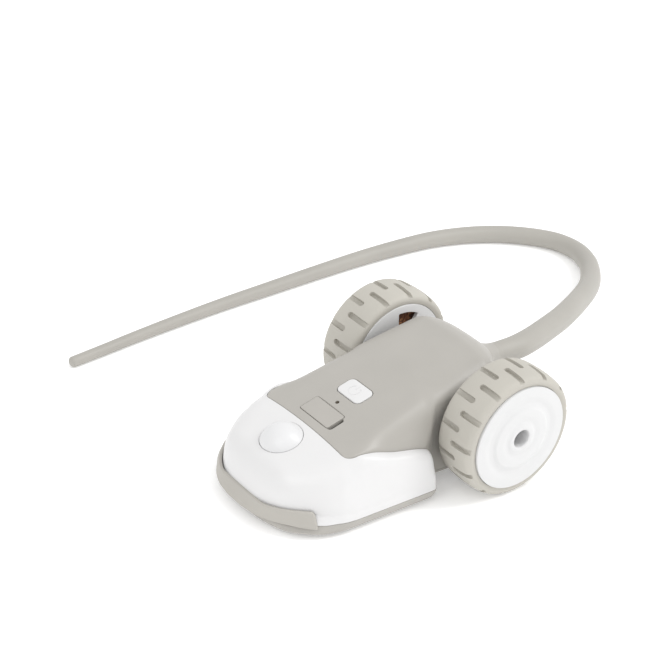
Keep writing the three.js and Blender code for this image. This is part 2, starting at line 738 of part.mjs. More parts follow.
// A boss round the hole, a narrow groove, a flat ring, a broad groove and the rim.
function outerHub() {
  const profile = [
    [HUB_HOLE_RADIUS, HUB_HOLE_END],
    [HUB_HOLE_RADIUS, HUB_FACE + 0.4],
    [4.8, HUB_FACE + 0.4],
    [6, HUB_FACE - 0.4],
    [8.2, HUB_FACE],
    [10.8, HUB_FACE - 0.1],
    [11.8, HUB_FACE - 0.7],
    [14, HUB_FACE - 0.7],
    [15.2, HUB_FACE],
    [HUB_RADIUS - 0.6, HUB_FACE],
    [HUB_RADIUS, HUB_FACE - 0.5],
    [HUB_RADIUS, 31.8],
    [17.1, 31.8],
    [17.1, 37],
    [HUB_TUBE_RADIUS, 37],
    [HUB_TUBE_RADIUS, HUB_HOLE_END],
  ];
  return turnedX(profile, 26);
}

function innerHub() {
  const profile = [
    [AXLE_RADIUS + GAP, WHEEL_INNER],
    [HUB_RADIUS, WHEEL_INNER],
    [HUB_RADIUS, 31.2],
    [17.1, 31.2],
    [17.1, 25.2],
    [HUB_TUBE_RADIUS, 25.2],
    [HUB_TUBE_RADIUS, HUB_HOLE_END - 2 * GAP],
    [AXLE_RADIUS + GAP, HUB_HOLE_END - 2 * GAP],
  ];
  const disc = turnedX(profile, 26);
  const [inner, outer, half] = [9, 15.8, 0.29];
  const shape = new THREE.Shape();
  shape.absarc(0, 0, outer, -half, half);
  shape.absarc(0, 0, inner, half, -half, true);
  const windows = [];
  for (let window = 0; window < HUB_WINDOWS; window++) {
    const turn = 79 + (window * 360) / HUB_WINDOWS;
    windows.push(slabX(shape, 22, 25.3).rotate([turn, 0, 0]).translate([0, 0, TYRE_RADIUS]));
  }
  return cut(disc, ...windows);
}

function herbPad() {
  const profile = [
    [HUB_TUBE_RADIUS + 0.4, 25.6],
    [16.7, 25.6],
    [16.7, 36.6],
    [HUB_TUBE_RADIUS + 0.4, 36.6],
  ];
  return turnedX(profile, 20);
}

// ---------------------------------------------------------------- roller, screws and tail
const frontRoller = () =>
  cut(
    rodX(ROLLER.radius, -ROLLER.half, ROLLER.half, ROLLER.y, ROLLER.radius, 32),
    rodX(ROLLER.pin + GAP, -20, 20, ROLLER.y, ROLLER.radius, 16),
  );
const rollerPin = () => rodX(ROLLER.pin, -8.8, 8.8, ROLLER.y, ROLLER.radius, 16);

function baseScrew({ x, y, into }) {
  const floor = into === "nose" ? BASE_BOTTOM : BELLY_BOTTOM;
  const head = rodZ(2.1, floor - 0.6, floor + 0.4, x, y, 16);
  const shank = rodZ(SCREW_RADIUS, floor + 0.2, into === "nose" ? 12 : 14, x, y, 12);
  const recess = box([x - 1.2, y - 0.3, floor - 1], [x + 1.2, y + 0.3, floor - 0.1]);
  return cut(join(head, shank), recess);
}

// The tail's radius shrinks evenly along its length.
function tail() {
  const path = new THREE.CatmullRomCurve3(TAIL_ROUTE);
  const shape = new THREE.Shape();
  shape.absarc(0, 0, 1, 0, 2 * Math.PI);
  const geometry = new THREE.ExtrudeGeometry(new THREE.Shape(shape.getSpacedPoints(TAIL.sides)), {
    steps: TAIL.steps,
    extrudePath: path,
    bevelEnabled: false,
  });
  const centres = path.getSpacedPoints(TAIL.steps);
  const position = geometry.getAttribute("position");
  const point = new THREE.Vector3();
  for (let i = 0; i < position.count; i++) {
    point.fromBufferAttribute(position, i);
    const away = centres.map((centre) => centre.distanceToSquared(point));
    const nearest = away.indexOf(Math.min(...away));
    const radius = THREE.MathUtils.lerp(TAIL.root, TAIL.tip, nearest / TAIL.steps);
    point.sub(centres[nearest]).setLength(radius).add(centres[nearest]);
    position.setXYZ(i, point.x, point.y, point.z);
  }
  return solid(geometry);
}

function tailRoot() {
  const end = TAIL_ROUTE[0].y - GAP;
  const profile = [
    [0, BODY_REAR + GAP],
    [5.8, BODY_REAR + GAP],
    [5.1, BODY_REAR + 1.6],
    [4.7, BODY_REAR + 3.6],
    [TAIL.root, end],
    [0, end],
  ].map(([radius, along]) => new THREE.Vector2(radius, along));
  const horn = solid(new THREE.LatheGeometry(profile, 20).translate(0, 0, TAIL.exitZ));
  const neck = new THREE.CylinderGeometry(2.2, 2.2, 5, 12).translate(0, BODY_REAR - 1.6, TAIL.exitZ);
  return join(horn, solid(neck));
}

function tailClip() {
  const plate = box([-6, BODY_REAR - 3.4, 22.4], [6, BODY_REAR - 2.2, 31]);
  const hole = new THREE.CylinderGeometry(2.5, 2.5, 8, 16).translate(0, BODY_REAR - 3, TAIL.exitZ);
  return plate.subtract(solid(hole));
}

// ---------------------------------------------------------------- the toy
const toy = new THREE.Group();
toy.name = "robotic_mouse_toy";
toy.position.y = AXLE_OFFSET;

toy.add(
  piece("upper_shell", upperShell(), MATTE_GREY),
  piece("nose_cover", noseCover(), GLOSS_WHITE),
  piece("front_bumper", frontBumper(), RUBBER_GREY),
  piece("base_plate", basePlate(), MATTE_GREY),
  piece("sensor_dome", sensorDome(), DOME_WHITE),
  piece("motion_sensor", motionSensor(), STEEL),
  piece("sensor_board", sensorBoard(), BOARD_GREEN),
  piece("port_flap", portFlap(), RUBBER_GREY),
  piece("charge_socket", chargeSocket(), STEEL),
  piece("power_button", powerButton(), GLOSS_WHITE),
  piece("button_switch", buttonSwitch(), BLACK_PLASTIC),
  piece("switch_plunger", switchPlunger(), BLACK_PLASTIC),
  piece("light_guide", lightGuide(), LIGHT_CLEAR),
  piece("main_board", mainBoard(), BOARD_GREEN),
  piece("battery", battery(), BATTERY_SLEEVE),
  piece("front_roller", frontRoller(), GLOSS_WHITE),
  piece("roller_pin", rollerPin(), STEEL),
  piece("tail_root", tailRoot(), RUBBER_GREY),
  piece("tail", tail(), RUBBER_GREY),
  piece("tail_clip", tailClip(), BLACK_PLASTIC),
);
SCREWS.forEach((screw) => toy.add(piece("base_screw_" + screw.name, baseScrew(screw), STEEL)));

// Each side's pieces are modelled on the left and mirrored for the right.
const SIDE_PIECES = [
  ["motor", motor, STEEL],
  ["motor_pinion", motorPinion, BRASS],
  ["compound_gear", compoundGear, GEAR_NYLON],
  ["gear_pin", gearPin, STEEL],
  ["output_gear", outputGear, GEAR_NYLON],
  ["gear_frame", () => gearPlate(SPAN.frame, true), BLACK_PLASTIC],
  ["gear_cover", () => gearPlate(SPAN.cover, false), BLACK_PLASTIC],
  ["axle", axle, STEEL],
  ["axle_bush", axleBush, BRASS],
  ["tyre", tyre, RUBBER_GREY],
  ["outer_hub", outerHub, GLOSS_WHITE],
  ["inner_hub", innerHub, GLOSS_WHITE],
  ["herb_pad", herbPad, HERB_BROWN],
];
for (const [name, make, look] of SIDE_PIECES) {
  const body = make();
  toy.add(piece("left_" + name, body, look), piece("right_" + name, body.mirror([1, 0, 0]), look));
}

export default toy;
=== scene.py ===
# Looks of a robotic mouse toy for cats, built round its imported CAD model.
import json
import math

import bmesh
import bpy
from mathutils import Matrix, Vector, noise


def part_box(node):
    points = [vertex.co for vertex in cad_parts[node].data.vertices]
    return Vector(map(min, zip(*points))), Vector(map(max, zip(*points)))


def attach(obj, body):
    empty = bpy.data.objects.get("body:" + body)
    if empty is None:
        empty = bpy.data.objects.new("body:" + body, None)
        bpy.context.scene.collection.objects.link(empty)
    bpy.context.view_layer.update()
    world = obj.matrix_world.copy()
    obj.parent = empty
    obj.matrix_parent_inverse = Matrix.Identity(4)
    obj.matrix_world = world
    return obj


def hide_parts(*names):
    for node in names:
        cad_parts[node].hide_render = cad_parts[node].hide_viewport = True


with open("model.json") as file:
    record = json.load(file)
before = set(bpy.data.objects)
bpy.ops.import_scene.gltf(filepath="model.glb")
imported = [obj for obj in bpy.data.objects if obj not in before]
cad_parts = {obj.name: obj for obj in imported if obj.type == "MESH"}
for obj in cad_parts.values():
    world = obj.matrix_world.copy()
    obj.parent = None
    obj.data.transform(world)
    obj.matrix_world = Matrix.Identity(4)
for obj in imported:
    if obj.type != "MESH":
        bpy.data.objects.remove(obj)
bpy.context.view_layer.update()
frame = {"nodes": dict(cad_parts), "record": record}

# ------------------------------------------------------------------ driving dimensions
# Shapes are drawn in millimetres from the point on the floor under the drive axle: +X to the toy's left,
# +Y towards the tail, +Z up. settle() moves them into the row frame, in metres.
MM = 0.001
TYRE_LOW, TYRE_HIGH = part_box("left_tyre")
AXLE_Y = (TYRE_LOW.y + TYRE_HIGH.y) / 2 / MM
TYRE_RADIUS = (TYRE_HIGH.z - TYRE_LOW.z) / 2 / MM
WHEEL_INNER = TYRE_LOW.x / MM
WHEEL_OUTER = TYRE_HIGH.x / MM
WALL = 1.6
SEAM_GAP = 0.18

BASE_BOTTOM = 1.5
BASE_TOP = 5.0
BELLY_BOTTOM = 3.9
SHELL_BOTTOM = 5.2
NOSE_FRONT = -83.4
BASE_FRONT = -82.4
SEAM = -58.6
FENDER_HALF = 30.2
FENDER_REAR = -22.4
BODY_HALF = 21.5
BODY_REAR = 17.8
BUMPER_TOP = 9.0
BUMPER_BOTTOM = 4.4
COVER_CORNER = 9.8
BUMPER_BACK = -70.8
BUMPER_THICK, BUMPER_END_THICK = 1.25, 0.35
LAST_SECTION = 16
HORN_BLEND = 3.4

DECK_SLOPE = 0.281
DECK_ORIGIN = Vector((0, -51.53, 27.44))
DECK_CROWN = 1.35
RIDGE_HALF = 21.2
DOME_U, LIGHT_U, BUTTON_U = -16.7, 6.3, 13.7
DOME_RADIUS, DOME_HEIGHT = 7.2, 3.9
LIGHT_RADIUS = 0.5
FLAP_SIZE = (15, 7.4)
BUTTON_SIZE = (11.8, 7.5)
SOCKET_SIZE, SOCKET_MOUTH = (9.2, 3.6), (8.5, 2.9)

HUB_RADIUS = 18.7
HUB_HOLE_RADIUS = 3.2
HUB_FACE = 40.6
HUB_RIM_INNER = 17.1
HUB_BOSS = 5
TREAD_SLOTS = 13
ROLLER_Y, ROLLER_RADIUS, ROLLER_HALF = -64, 4.5, 6

TAIL_NECK, TAIL_RADIUS, TAIL_TIP_RADIUS = 4.13, 4.4, 2.0
TAIL_Z = 27.0
ROOT_START, ROOT_END = 22.4, 24.4


# ------------------------------------------------------------------ numbers and curves
def follow(stops):
    """A smooth value along (place, value) stops that never overshoots them, level beyond the ends."""
    places = [place for place, _ in stops]
    values = [value for _, value in stops]
    steps = [b - a for a, b in zip(places, places[1:])]
    rises = [(b - a) / step for a, b, step in zip(values, values[1:], steps)]
    slopes = [rises[0]]
    for (before, after), (h0, h1) in zip(zip(rises, rises[1:]), zip(steps, steps[1:])):
        weights = (2 * h1 + h0, h1 + 2 * h0)
        turning = before * after <= 0
        slopes.append(0 if turning else sum(weights) / (weights[0] / before + weights[1] / after))
    slopes.append(rises[-1])

    def value_at(place):
        if place <= places[0]:
            return values[0]
        if place >= places[-1]:
            return values[-1]
        i = max(k for k, stop in enumerate(places) if stop <= place)
        t, h = (place - places[i]) / steps[i], steps[i]
        low = values[i] * (2 * t + 1) * (1 - t) ** 2 + slopes[i] * h * t * (1 - t) ** 2
        return low + values[i + 1] * t * t * (3 - 2 * t) + slopes[i + 1] * h * t * t * (t - 1)

    return value_at


def between(low, high, count, power=1.0):
    """count + 1 places from low to high; a power over 1 crowds them towards low."""
    return [low + (high - low) * (k / count) ** power for k in range(count + 1)]


def bend(start, control, end, steps):
    """Points of the quadratic curve from start to end that leaves and arrives pointing at control."""
    points = []
    for k in range(steps + 1):
        t = k / steps
        points.append(start.lerp(control, t).lerp(control.lerp(end, t), t))
    return points


def lengths_along(path):
    """How far along a path each of its points is."""
    along = [0.0]
    for a, b in zip(path, path[1:]):
        along.append(along[-1] + (b - a).length)
    return along


def evenly(path, count):
    """The same path as count + 1 points, equally far apart along it."""
    along = lengths_along(path)
    made, k = [], 0
    for i in range(count + 1):
        goal = along[-1] * i / count
        while k < len(path) - 2 and along[k + 1] < goal:
            k += 1
        made.append(path[k].lerp(path[k + 1], (goal - along[k]) / (along[k + 1] - along[k])))
    return made


def eased(path, passes):
    """The path with its corners eased, its two ends kept."""
    for _ in range(passes):
        middle = [(a + 2 * b + c) / 4 for a, b, c in zip(path, path[1:], path[2:])]
        path = [path[0], *middle, path[-1]]
    return path


def smooth_max(a, b, width):
    """The larger of two values, blended where they are within width of each other."""
    overlap = max(width - abs(a - b), 0) / width
    return max(a, b) + overlap * overlap * width / 4


# ------------------------------------------------------------------ mesh making
def new_object(name, points, faces):
    mesh = bpy.data.meshes.new(name)
    mesh.from_pydata([tuple(p) for p in points], [], faces)
    obj = bpy.data.objects.new(name, mesh)
    bpy.context.scene.collection.objects.link(obj)
    tidy = bmesh.new()
    tidy.from_mesh(mesh)
    bmesh.ops.remove_doubles(tidy, verts=tidy.verts, dist=1e-4)
    bmesh.ops.recalc_face_normals(tidy, faces=tidy.faces)
    tidy.to_mesh(mesh)
    tidy.free()
    return obj


def skin(name, rings, looped=False):
    """A closed surface over rings of equal length. Open at neither end: flat caps, or looped round."""
    count = len(rings[0])
    faces = []
    last = len(rings) if looped else len(rings) - 1
    for r in range(last):
        a0, b0 = r * count, ((r + 1) % len(rings)) * count
        for i in range(count):
            j = (i + 1) % count
            faces.append((a0 + i, a0 + j, b0 + j, b0 + i))
    if not looped:
        faces.append(tuple(range(count)))
        faces.append(tuple((len(rings) - 1) * count + i for i in range(count)))
    return new_object(name, [p for ring in rings for p in ring], faces)


def joined(name, objects):
    """One object that holds the meshes of several."""
    merged = bmesh.new()
    for obj in objects:
        merged.from_mesh(obj.data)
        bpy.data.objects.remove(obj)
    mesh = bpy.data.meshes.new(name)
    merged.to_mesh(mesh)
    merged.free()
    obj = bpy.data.objects.new(name, mesh)
    bpy.context.scene.collection.objects.link(obj)
    return obj


def combine(obj, operation, *tools):
    for tool in tools:
        change = obj.modifiers.new("combine", "BOOLEAN")
        change.operation = operation
        change.solver = "EXACT"
        change.object = tool
    bpy.context.view_layer.update()
    result = obj.evaluated_get(bpy.context.evaluated_depsgraph_get())
    mesh = bpy.data.meshes.new_from_object(result)
    obj.modifiers.clear()
    obj.data = mesh
    for tool in tools:
        bpy.data.objects.remove(tool)
    return obj


def cut(obj, *tools):
    return combine(obj, "DIFFERENCE", *tools)


def shade(mesh, limit=32):
    """Smooth faces, with an edge kept sharp where it turns by more than limit degrees."""
    edges = bmesh.new()
    edges.from_mesh(mesh)
    for face in edges.faces:
        face.smooth = True
    for edge in edges.edges:
        edge.smooth = edge.is_manifold and edge.calc_face_angle() < math.radians(limit)
    edges.to_mesh(mesh)
    edges.free()


def settle(obj, look, slot, body, *nodes):
    """Moves a piece drawn in millimetres into the row frame and gives it its look and body."""
    obj.data.transform(Matrix.Scale(MM, 4) @ Matrix.Translation((0, AXLE_Y, 0)))
    shade(obj.data)
    obj.data.materials.clear()
    obj.data.materials.append(look)
    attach(obj, body)
    if nodes:
        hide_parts(*nodes)
    return obj


def mirrored(obj, name):
    """A copy on the other side of the toy, before settling."""
    copy = bpy.data.objects.new(name, obj.data.copy())
    bpy.context.scene.collection.objects.link(copy)
    copy.data.transform(Matrix.Scale(-1, 4, (1, 0, 0)))
    copy.data.flip_normals()
    return copy


def box(name, low, high):
    """A cutting tool, never a shown piece."""
    (x0, y0, z0), (x1, y1, z1) = low, high
    rings = [[(x0, y, z0), (x1, y, z0), (x1, y, z1), (x0, y, z1)] for y in (y0, y1)]
    return skin(name, rings)


def lathe_x(name, profile, segments, y=0.0, z=TYRE_RADIUS):
    """A closed (radius, along X) profile turned about a line along X."""
    rings = []
    for k in range(segments):
        turn = 2 * math.pi * k / segments
        rings.append([(along, y + r * math.sin(turn), z + r * math.cos(turn)) for r, along in profile])
    return skin(name, rings, looped=True)


def rod_x(name, radius, low, high, y, z, segments=48):
    return lathe_x(name, [(0, low), (radius, low), (radius, high), (0, high)], segments, y, z)


def rod_z(name, radius, low, high, x, y, segments=40):
    turns = [2 * math.pi * k / segments for k in range(segments)]
    rings = [[(x + radius * math.cos(t), y + radius * math.sin(t), z) for t in turns] for z in (low, high)]
    return skin(name, rings)


def softened(points, radius, steps=4):
    """A closed profile with each corner rounded, by less where its sides are short."""
    made = []
    corners = [Vector(p) for p in points]
    for before, here, after in zip([corners[-1], *corners], corners, [*corners[1:], corners[0]]):
        reach = min(radius, (before - here).length * 0.45, (after - here).length * 0.45)
        start = here + (before - here).normalized() * reach
        end = here + (after - here).normalized() * reach
        made += bend(start, here, end, steps)
    return made


# ------------------------------------------------------------------ the body's outline
def deck_height(y):
    return DECK_ORIGIN.z + DECK_SLOPE * (y - DECK_ORIGIN.y)


def crown_drop(x):
    return DECK_CROWN * (x / RIDGE_HALF) ** 2


# Half widths along the toy: of the white cover at its lower edge, at its corner and where its top turns
# over, and of the base. Then heights: of the cover's top, of the body's side corner and of its top.
nose_foot = follow([
    (NOSE_FRONT, 4.8), (-83.1, 7.8), (-82.5, 10), (-81.6, 12.4), (-80.6, 14.5), (-79.4, 16.5),
    (-77.6, 18.9), (-75, 22.3), (-72, 25.3), (-70.6, 26.4), (-68, 27.9), (-65.6, 28.6), (-61.5, 29.8),
    (-57, FENDER_HALF), (-29, FENDER_HALF), (-26, 30.1), (-24.8, 29.6), (-23.6, 28.4), (-22.8, 26.6),
    (FENDER_REAR, 24.4),
])
nose_half = follow([
    (NOSE_FRONT, 3), (-82.5, 7.6), (-81.4, 11), (-80, 14), (-78.4, 16.6), (-77, 18.4), (-74.2, 21.2),
    (-72, 23), (-70.6, 24.1), (-68, 26), (-65.6, 27.5), (-61.5, 29.1), (-57, 29.8), (-29, 29.8),
    (-26, 29.7), (-24.8, 29.2), (-23.6, 28), (-22.8, 26.2), (FENDER_REAR, 24),
])
nose_ridge = follow([
    (NOSE_FRONT, 2), (-82, 7.5), (-80.7, 11), (-78, 16), (-74.2, 19.4), (-70.6, 22), (-66, 24.4),
    (-61.5, 25.4), (SEAM, 25.2), (-54, 26.4), (-48, 27.8), (-41, 28.2), (-28, 28.1), (-25.4, 27.2),
    (-24, 25.8), (FENDER_REAR, 23.6),
])
nose_rounding = follow([(NOSE_FRONT, 1.5), (-78, 7.5), (-70, 10), (SEAM, 6), (-50, 3), (FENDER_REAR, 2.4)])
base_half = follow([
    (BASE_FRONT, 5), (-82.1, 8.4), (-81.5, 11.8), (-80.7, 14.8), (-79.6, 17.9), (-77.9, 20.9),
    (-73.1, 25.4), (-69, 27.9), (-65.6, 28.9), (-61.5, 29.6), (-29, 29.6), (-26.2, 29.4), (-24.8, 28.8),
    (-23.4, 27.4), (FENDER_REAR, 24),
])
nose_top = follow([
    (NOSE_FRONT, 6.2), (-82.6, 7.6), (-81.6, 9.6), (-81, 11.8), (-80, 14.6), (-78, 18.2), (-75.5, 20.4),
    (-72, deck_height(-72)), (-65, deck_height(-65)), (SEAM, deck_height(SEAM)), (-56.6, deck_height(-56.6)),
    (-54, 26.4), (-50, 26.2), (-41, 24.0), (-28, 21.0), (-26.4, 20.2), (-25.2, 16), (-24.2, 12.4),
    (-23.2, 9.8), (FENDER_REAR, 8.4),
])
side_half = follow([
    (SEAM, 20.2), (-58.1, 21.7), (-57.4, 22.5), (-56.4, 23.2), (-55, 23.7), (-50, 24.3), (-41, 24.9),
    (-28, 25.2), (-24, 23.4), (-20.5, BODY_HALF), (8, BODY_HALF), (13.5, 20), (16, 18),
])
side_top = follow([
    (SEAM, deck_height(SEAM) - DECK_CROWN), (-56, 24.7), (-51, 24.8), (-41, 22.2), (-28, 19.2),
    (-20.5, 29.5), (0, 28.5), (10, 26), (BODY_REAR, 22),
])
body_top = follow([
    (SEAM, deck_height(SEAM)), (-20, deck_height(-20)), (-9, deck_height(-9)), (-2, 41.0), (3, 42.3),
    (BODY_REAR, 44.5),
])
ridge_rounding = follow([(SEAM, 2.5), (-40, 3.6), (-20.5, 7), (0, 12), (BODY_REAR, 13)])
horn_top = follow([
    (6, TAIL_Z + 9), (11, TAIL_Z + 6.9), (14, TAIL_Z + 6), (17.8, TAIL_Z + 5.3), (22, TAIL_Z + 4.4),
    (ROOT_END, TAIL_Z + TAIL_NECK),
])


def half_section(half, ridge, top, corner_z, bottom, ridge_reach, corner_reach, flare=0.0):
    """Right half of a section from the bottom up to the middle: side, corner, slant, ridge, crowned deck.

    The side leans out by flare at its foot.
    """
    start_x = ridge - ridge_reach
    deck_edge = Vector((start_x, top - crown_drop(start_x)))
    tangent = 2 * DECK_CROWN * start_x / RIDGE_HALF ** 2
    ridge_point = Vector((ridge, deck_edge.y - tangent * ridge_reach))
    corner = Vector((half, min(corner_z, ridge_point.y - 0.3)))
    slant = ridge_point - corner
    foot = ridge_point - slant.normalized() * min(ridge_reach, slant.length * 0.62)
    above = corner + slant.normalized() * min(corner_reach, slant.length * 0.36)
    below = corner - Vector((0, min(corner_reach, (corner.y - bottom) * 0.8)))
    rise = below.y - bottom
    points = [Vector((half + flare * (1 - t), bottom + rise * t)) for t in between(0, 1, 7)[:-1]]
    points += bend(below, corner, above, 7)
    points += [above.lerp(foot, t) for t in between(0, 1, 6)[1:-1]]
    points += bend(foot, ridge_point, deck_edge, 12)
    points += [Vector((x, top - crown_drop(x))) for x in between(start_x, 0, 14)[1:]]
    return points


def whole_section(right, y):
    """Both halves of a section as a ring at y."""
    left = [Vector((-p.x, p.y)) for p in reversed(right[:-1])]
    return [Vector((p.x, y, p.y)) for p in right + left]


def body_ring(y, inset=0.0):
    half = side_half(y) - inset
    ridge = min(RIDGE_HALF - inset, half - 0.05)
    top = body_top(y) - inset
    bottom = SHELL_BOTTOM - (1 if inset > 1 else 0)
    reach = max(ridge_rounding(y) - inset * 0.6, 1.2)
    return whole_section(half_section(half, ridge, top, side_top(y) - inset, bottom, reach, 2.5), y)


def nose_ring(y, inset=0.0):
    ridge = nose_ridge(y) - inset
    top = nose_top(y) - inset
    bottom = SHELL_BOTTOM - (1 if inset > 1 else 0)
    reach = min(nose_rounding(y), ridge * 0.6)
    corner = min(COVER_CORNER, SHELL_BOTTOM + (top - SHELL_BOTTOM) * 0.4)
    half = nose_half(y) - inset
    flare = nose_foot(y) - nose_half(y)
    return whole_section(half_section(half, ridge, top, corner, bottom, reach, 2, flare), y)


upper_taper = follow([(-4, 1), (1, 1), (4, 0.95), (8, 0.81), (12, 0.6), (16, 0.33), (20, 0.1), (22, 0)])
lower_taper = follow([(12, 1), (14, 0.97), (16, 0.82), (17.4, 0.55), (BODY_REAR, 0)])


def rear_ring(y, inset=0.0):
    """A body section drawn in towards the tail's line and blended with the horn that the tail leaves by."""
    centre = Vector((0, y, TAIL_Z))
    horn = horn_top(y) - TAIL_Z
    ring = []
    for point in body_ring(min(y, LAST_SECTION)):
        away = Vector((point.x, 0, point.z - TAIL_Z))
        drop = min(max(-away.normalized().z * 2.2 + 0.3, 0), 1)
        shrink = upper_taper(y) + (lower_taper(y) - upper_taper(y)) * drop * drop * (3 - 2 * drop)
        reach = smooth_max(away.length * shrink, horn, HORN_BLEND) - inset
        ring.append(centre + away.normalized() * reach)
    return ring


def horn_rings(start, end, inset=0.0):
    """Round sections of the tail's root, with the same directions as the body's sections."""
    rings = []
    for y in between(start, end, 12):
        ring = []
        for point in body_ring(LAST_SECTION):
            away = Vector((point.x, 0, point.z - TAIL_Z)).normalized()
            ring.append(Vector((0, y, TAIL_Z)) + away * (horn_top(y) - TAIL_Z - inset))
        rings.append(ring)
    return rings


# ------------------------------------------------------------------ the deck's own frame
def deck_matrix():
    return Matrix.Translation(DECK_ORIGIN) @ Matrix.Rotation(math.atan(DECK_SLOPE), 4, "X")


def on_deck(x, u, n):
    """A point x across and u up the deck from the port flap's middle, n out of the crowned surface."""
    return deck_matrix() @ Vector((x, u, n - crown_drop(x)))


def rectangle(size, corner, inset=0.0, middle=(0, 0), steps=7):
    """Outline of a rounded rectangle on the deck, always with the same number of points."""
    width, height = size[0] / 2 - inset, size[1] / 2 - inset
    radius = max(corner - inset, 0.04)
    outline = []
    for quarter, (sx, sy) in enumerate([(1, 1), (-1, 1), (-1, -1), (1, -1)]):
        for k in range(steps + 1):
            turn = math.pi / 2 * (quarter + k / steps)
            outline.append((
                middle[0] + sx * (width - radius) + radius * math.cos(turn),
                middle[1] + sy * (height - radius) + radius * math.sin(turn),
            ))
    return outline


def deck_solid(name, layers):
    """A closed solid on the deck over (outline, height) layers, from the lowest to the highest."""
    return skin(name, [[on_deck(x, u, n) for x, u in outline] for outline, n in layers])


def deck_plate(name, size, corner, middle, low, high, edge, dish=0.0):
    """A moulded plate with rounded rims and a top that can swell by dish in its middle."""
    layers = [(rectangle(size, corner, 0, middle), low)]
    for k in range(5):
        turn = math.pi / 2 * k / 4
        inset, height = edge * (1 - math.cos(turn)), high - edge * (1 - math.sin(turn))
        layers.append((rectangle(size, corner, inset, middle), height))
    for share in (0.85, 0.6, 0.35, 0.12):
        outline = [
            (middle[0] + (x - middle[0]) * share, middle[1] + (u - middle[1]) * share)
            for x, u in rectangle(size, corner, edge, middle)
        ]
        layers.append((outline, high + dish * (1 - share ** 2)))
    return deck_solid(name, layers)


def deck_opening(name, size, corner, middle, depth, rim=0.16):
    """A cutting tool for a hole with a softened rim."""
    layers = [(rectangle(size, corner, 0, middle), -depth), (rectangle(size, corner, 0, middle), -rim)]
    layers.append((rectangle(size, corner, -rim * 0.35, middle), -rim * 0.35))
    layers.append((rectangle(size, corner, -rim * 1.2, middle), rim * 0.25))
    layers.append((rectangle(size, corner, -rim * 1.2, middle), 3))
    return deck_solid(name, layers)


def deck_round(name, profile, u, segments=96):
    """A closed (radius, height) profile turned about a line out of the deck."""
    rings = []
    for k in range(segments):
        turn = 2 * math.pi * k / segments
        rings.append([
            deck_matrix() @ Vector((r * math.cos(turn), u + r * math.sin(turn), n)) for r, n in profile
        ])
    return skin(name, rings, looped=True)


# ------------------------------------------------------------------ materials
def node(tree, kind, **inputs):
    made = tree.nodes.new(kind)
    for name, value in inputs.items():
        made.inputs[name.replace("_", " ")].default_value = value
    return made


def plain_material(name, color, roughness, metallic=0.0):
    look = bpy.data.materials.new(name)
    look.use_nodes = True
    shader = look.node_tree.nodes["Principled BSDF"]
    shader.inputs["Base Color"].default_value = (*color, 1)
    shader.inputs["Roughness"].default_value = roughness
    shader.inputs["Metallic"].default_value = metallic
    return look, shader


def moulded(name, color, roughness, grain=0.35, depth=0.02, drift=0.03, **sockets):
    """A moulded plastic or rubber: faint clouding in colour and gloss, and a fine grain in the surface.

    grain and depth are the grain's size and height in millimetres; drift is how far the colour strays.
    """
    look, shader = plain_material(name, color, roughness)
    tree = look.node_tree
    place = tree.nodes.new("ShaderNodeTexCoord")
    cloud = node(tree, "ShaderNodeTexNoise", Scale=55.0, Detail=3.0)
    tree.links.new(place.outputs["Object"], cloud.inputs["Vector"])
    tint = tree.nodes.new("ShaderNodeValToRGB")
    tint.color_ramp.elements[0].color = (*[c * (1 - drift) for c in color], 1)
    tint.color_ramp.elements[1].color = (*[min(c * (1 + drift), 1) for c in color], 1)
    tint.color_ramp.elements[0].position = 0.3
    tint.color_ramp.elements[1].position = 0.7
    tree.links.new(cloud.outputs["Fac"], tint.inputs["Fac"])
    tree.links.new(tint.outputs["Color"], shader.inputs["Base Color"])
    gloss = node(tree, "ShaderNodeMapRange", To_Min=roughness * 0.92, To_Max=min(roughness * 1.08, 1))
    tree.links.new(cloud.outputs["Fac"], gloss.inputs["Value"])
    tree.links.new(gloss.outputs["Result"], shader.inputs["Roughness"])
    fine = node(tree, "ShaderNodeTexNoise", Scale=1 / (grain * MM), Detail=2.0)
    tree.links.new(place.outputs["Object"], fine.inputs["Vector"])
    bump = node(tree, "ShaderNodeBump", Strength=1.0, Distance=depth * MM)
    tree.links.new(fine.outputs["Fac"], bump.inputs["Height"])
    tree.links.new(bump.outputs["Normal"], shader.inputs["Normal"])
    for socket, value in sockets.items():
        shader.inputs[socket.replace("_", " ")].default_value = value
    return look


def brushed(name, color, roughness, stretch):
    """Metal with fine parallel marks; stretch gives their spacing along each axis."""
    look, shader = plain_material(name, color, roughness, 1.0)
    tree = look.node_tree
    place = tree.nodes.new("ShaderNodeTexCoord")
    squeeze = tree.nodes.new("ShaderNodeMapping")
    squeeze.inputs["Scale"].default_value = stretch
    marks = node(tree, "ShaderNodeTexNoise", Scale=400.0, Detail=4.0)
    tree.links.new(place.outputs["Object"], squeeze.inputs["Vector"])
    tree.links.new(squeeze.outputs["Vector"], marks.inputs["Vector"])
    gloss = node(tree, "ShaderNodeMapRange", To_Min=roughness * 0.7, To_Max=roughness * 1.4)
    tree.links.new(marks.outputs["Fac"], gloss.inputs["Value"])
    tree.links.new(gloss.outputs["Result"], shader.inputs["Roughness"])
    bump = node(tree, "ShaderNodeBump", Strength=0.4, Distance=0.01 * MM)
    tree.links.new(marks.outputs["Fac"], bump.inputs["Height"])
    tree.links.new(bump.outputs["Normal"], shader.inputs["Normal"])
    return look


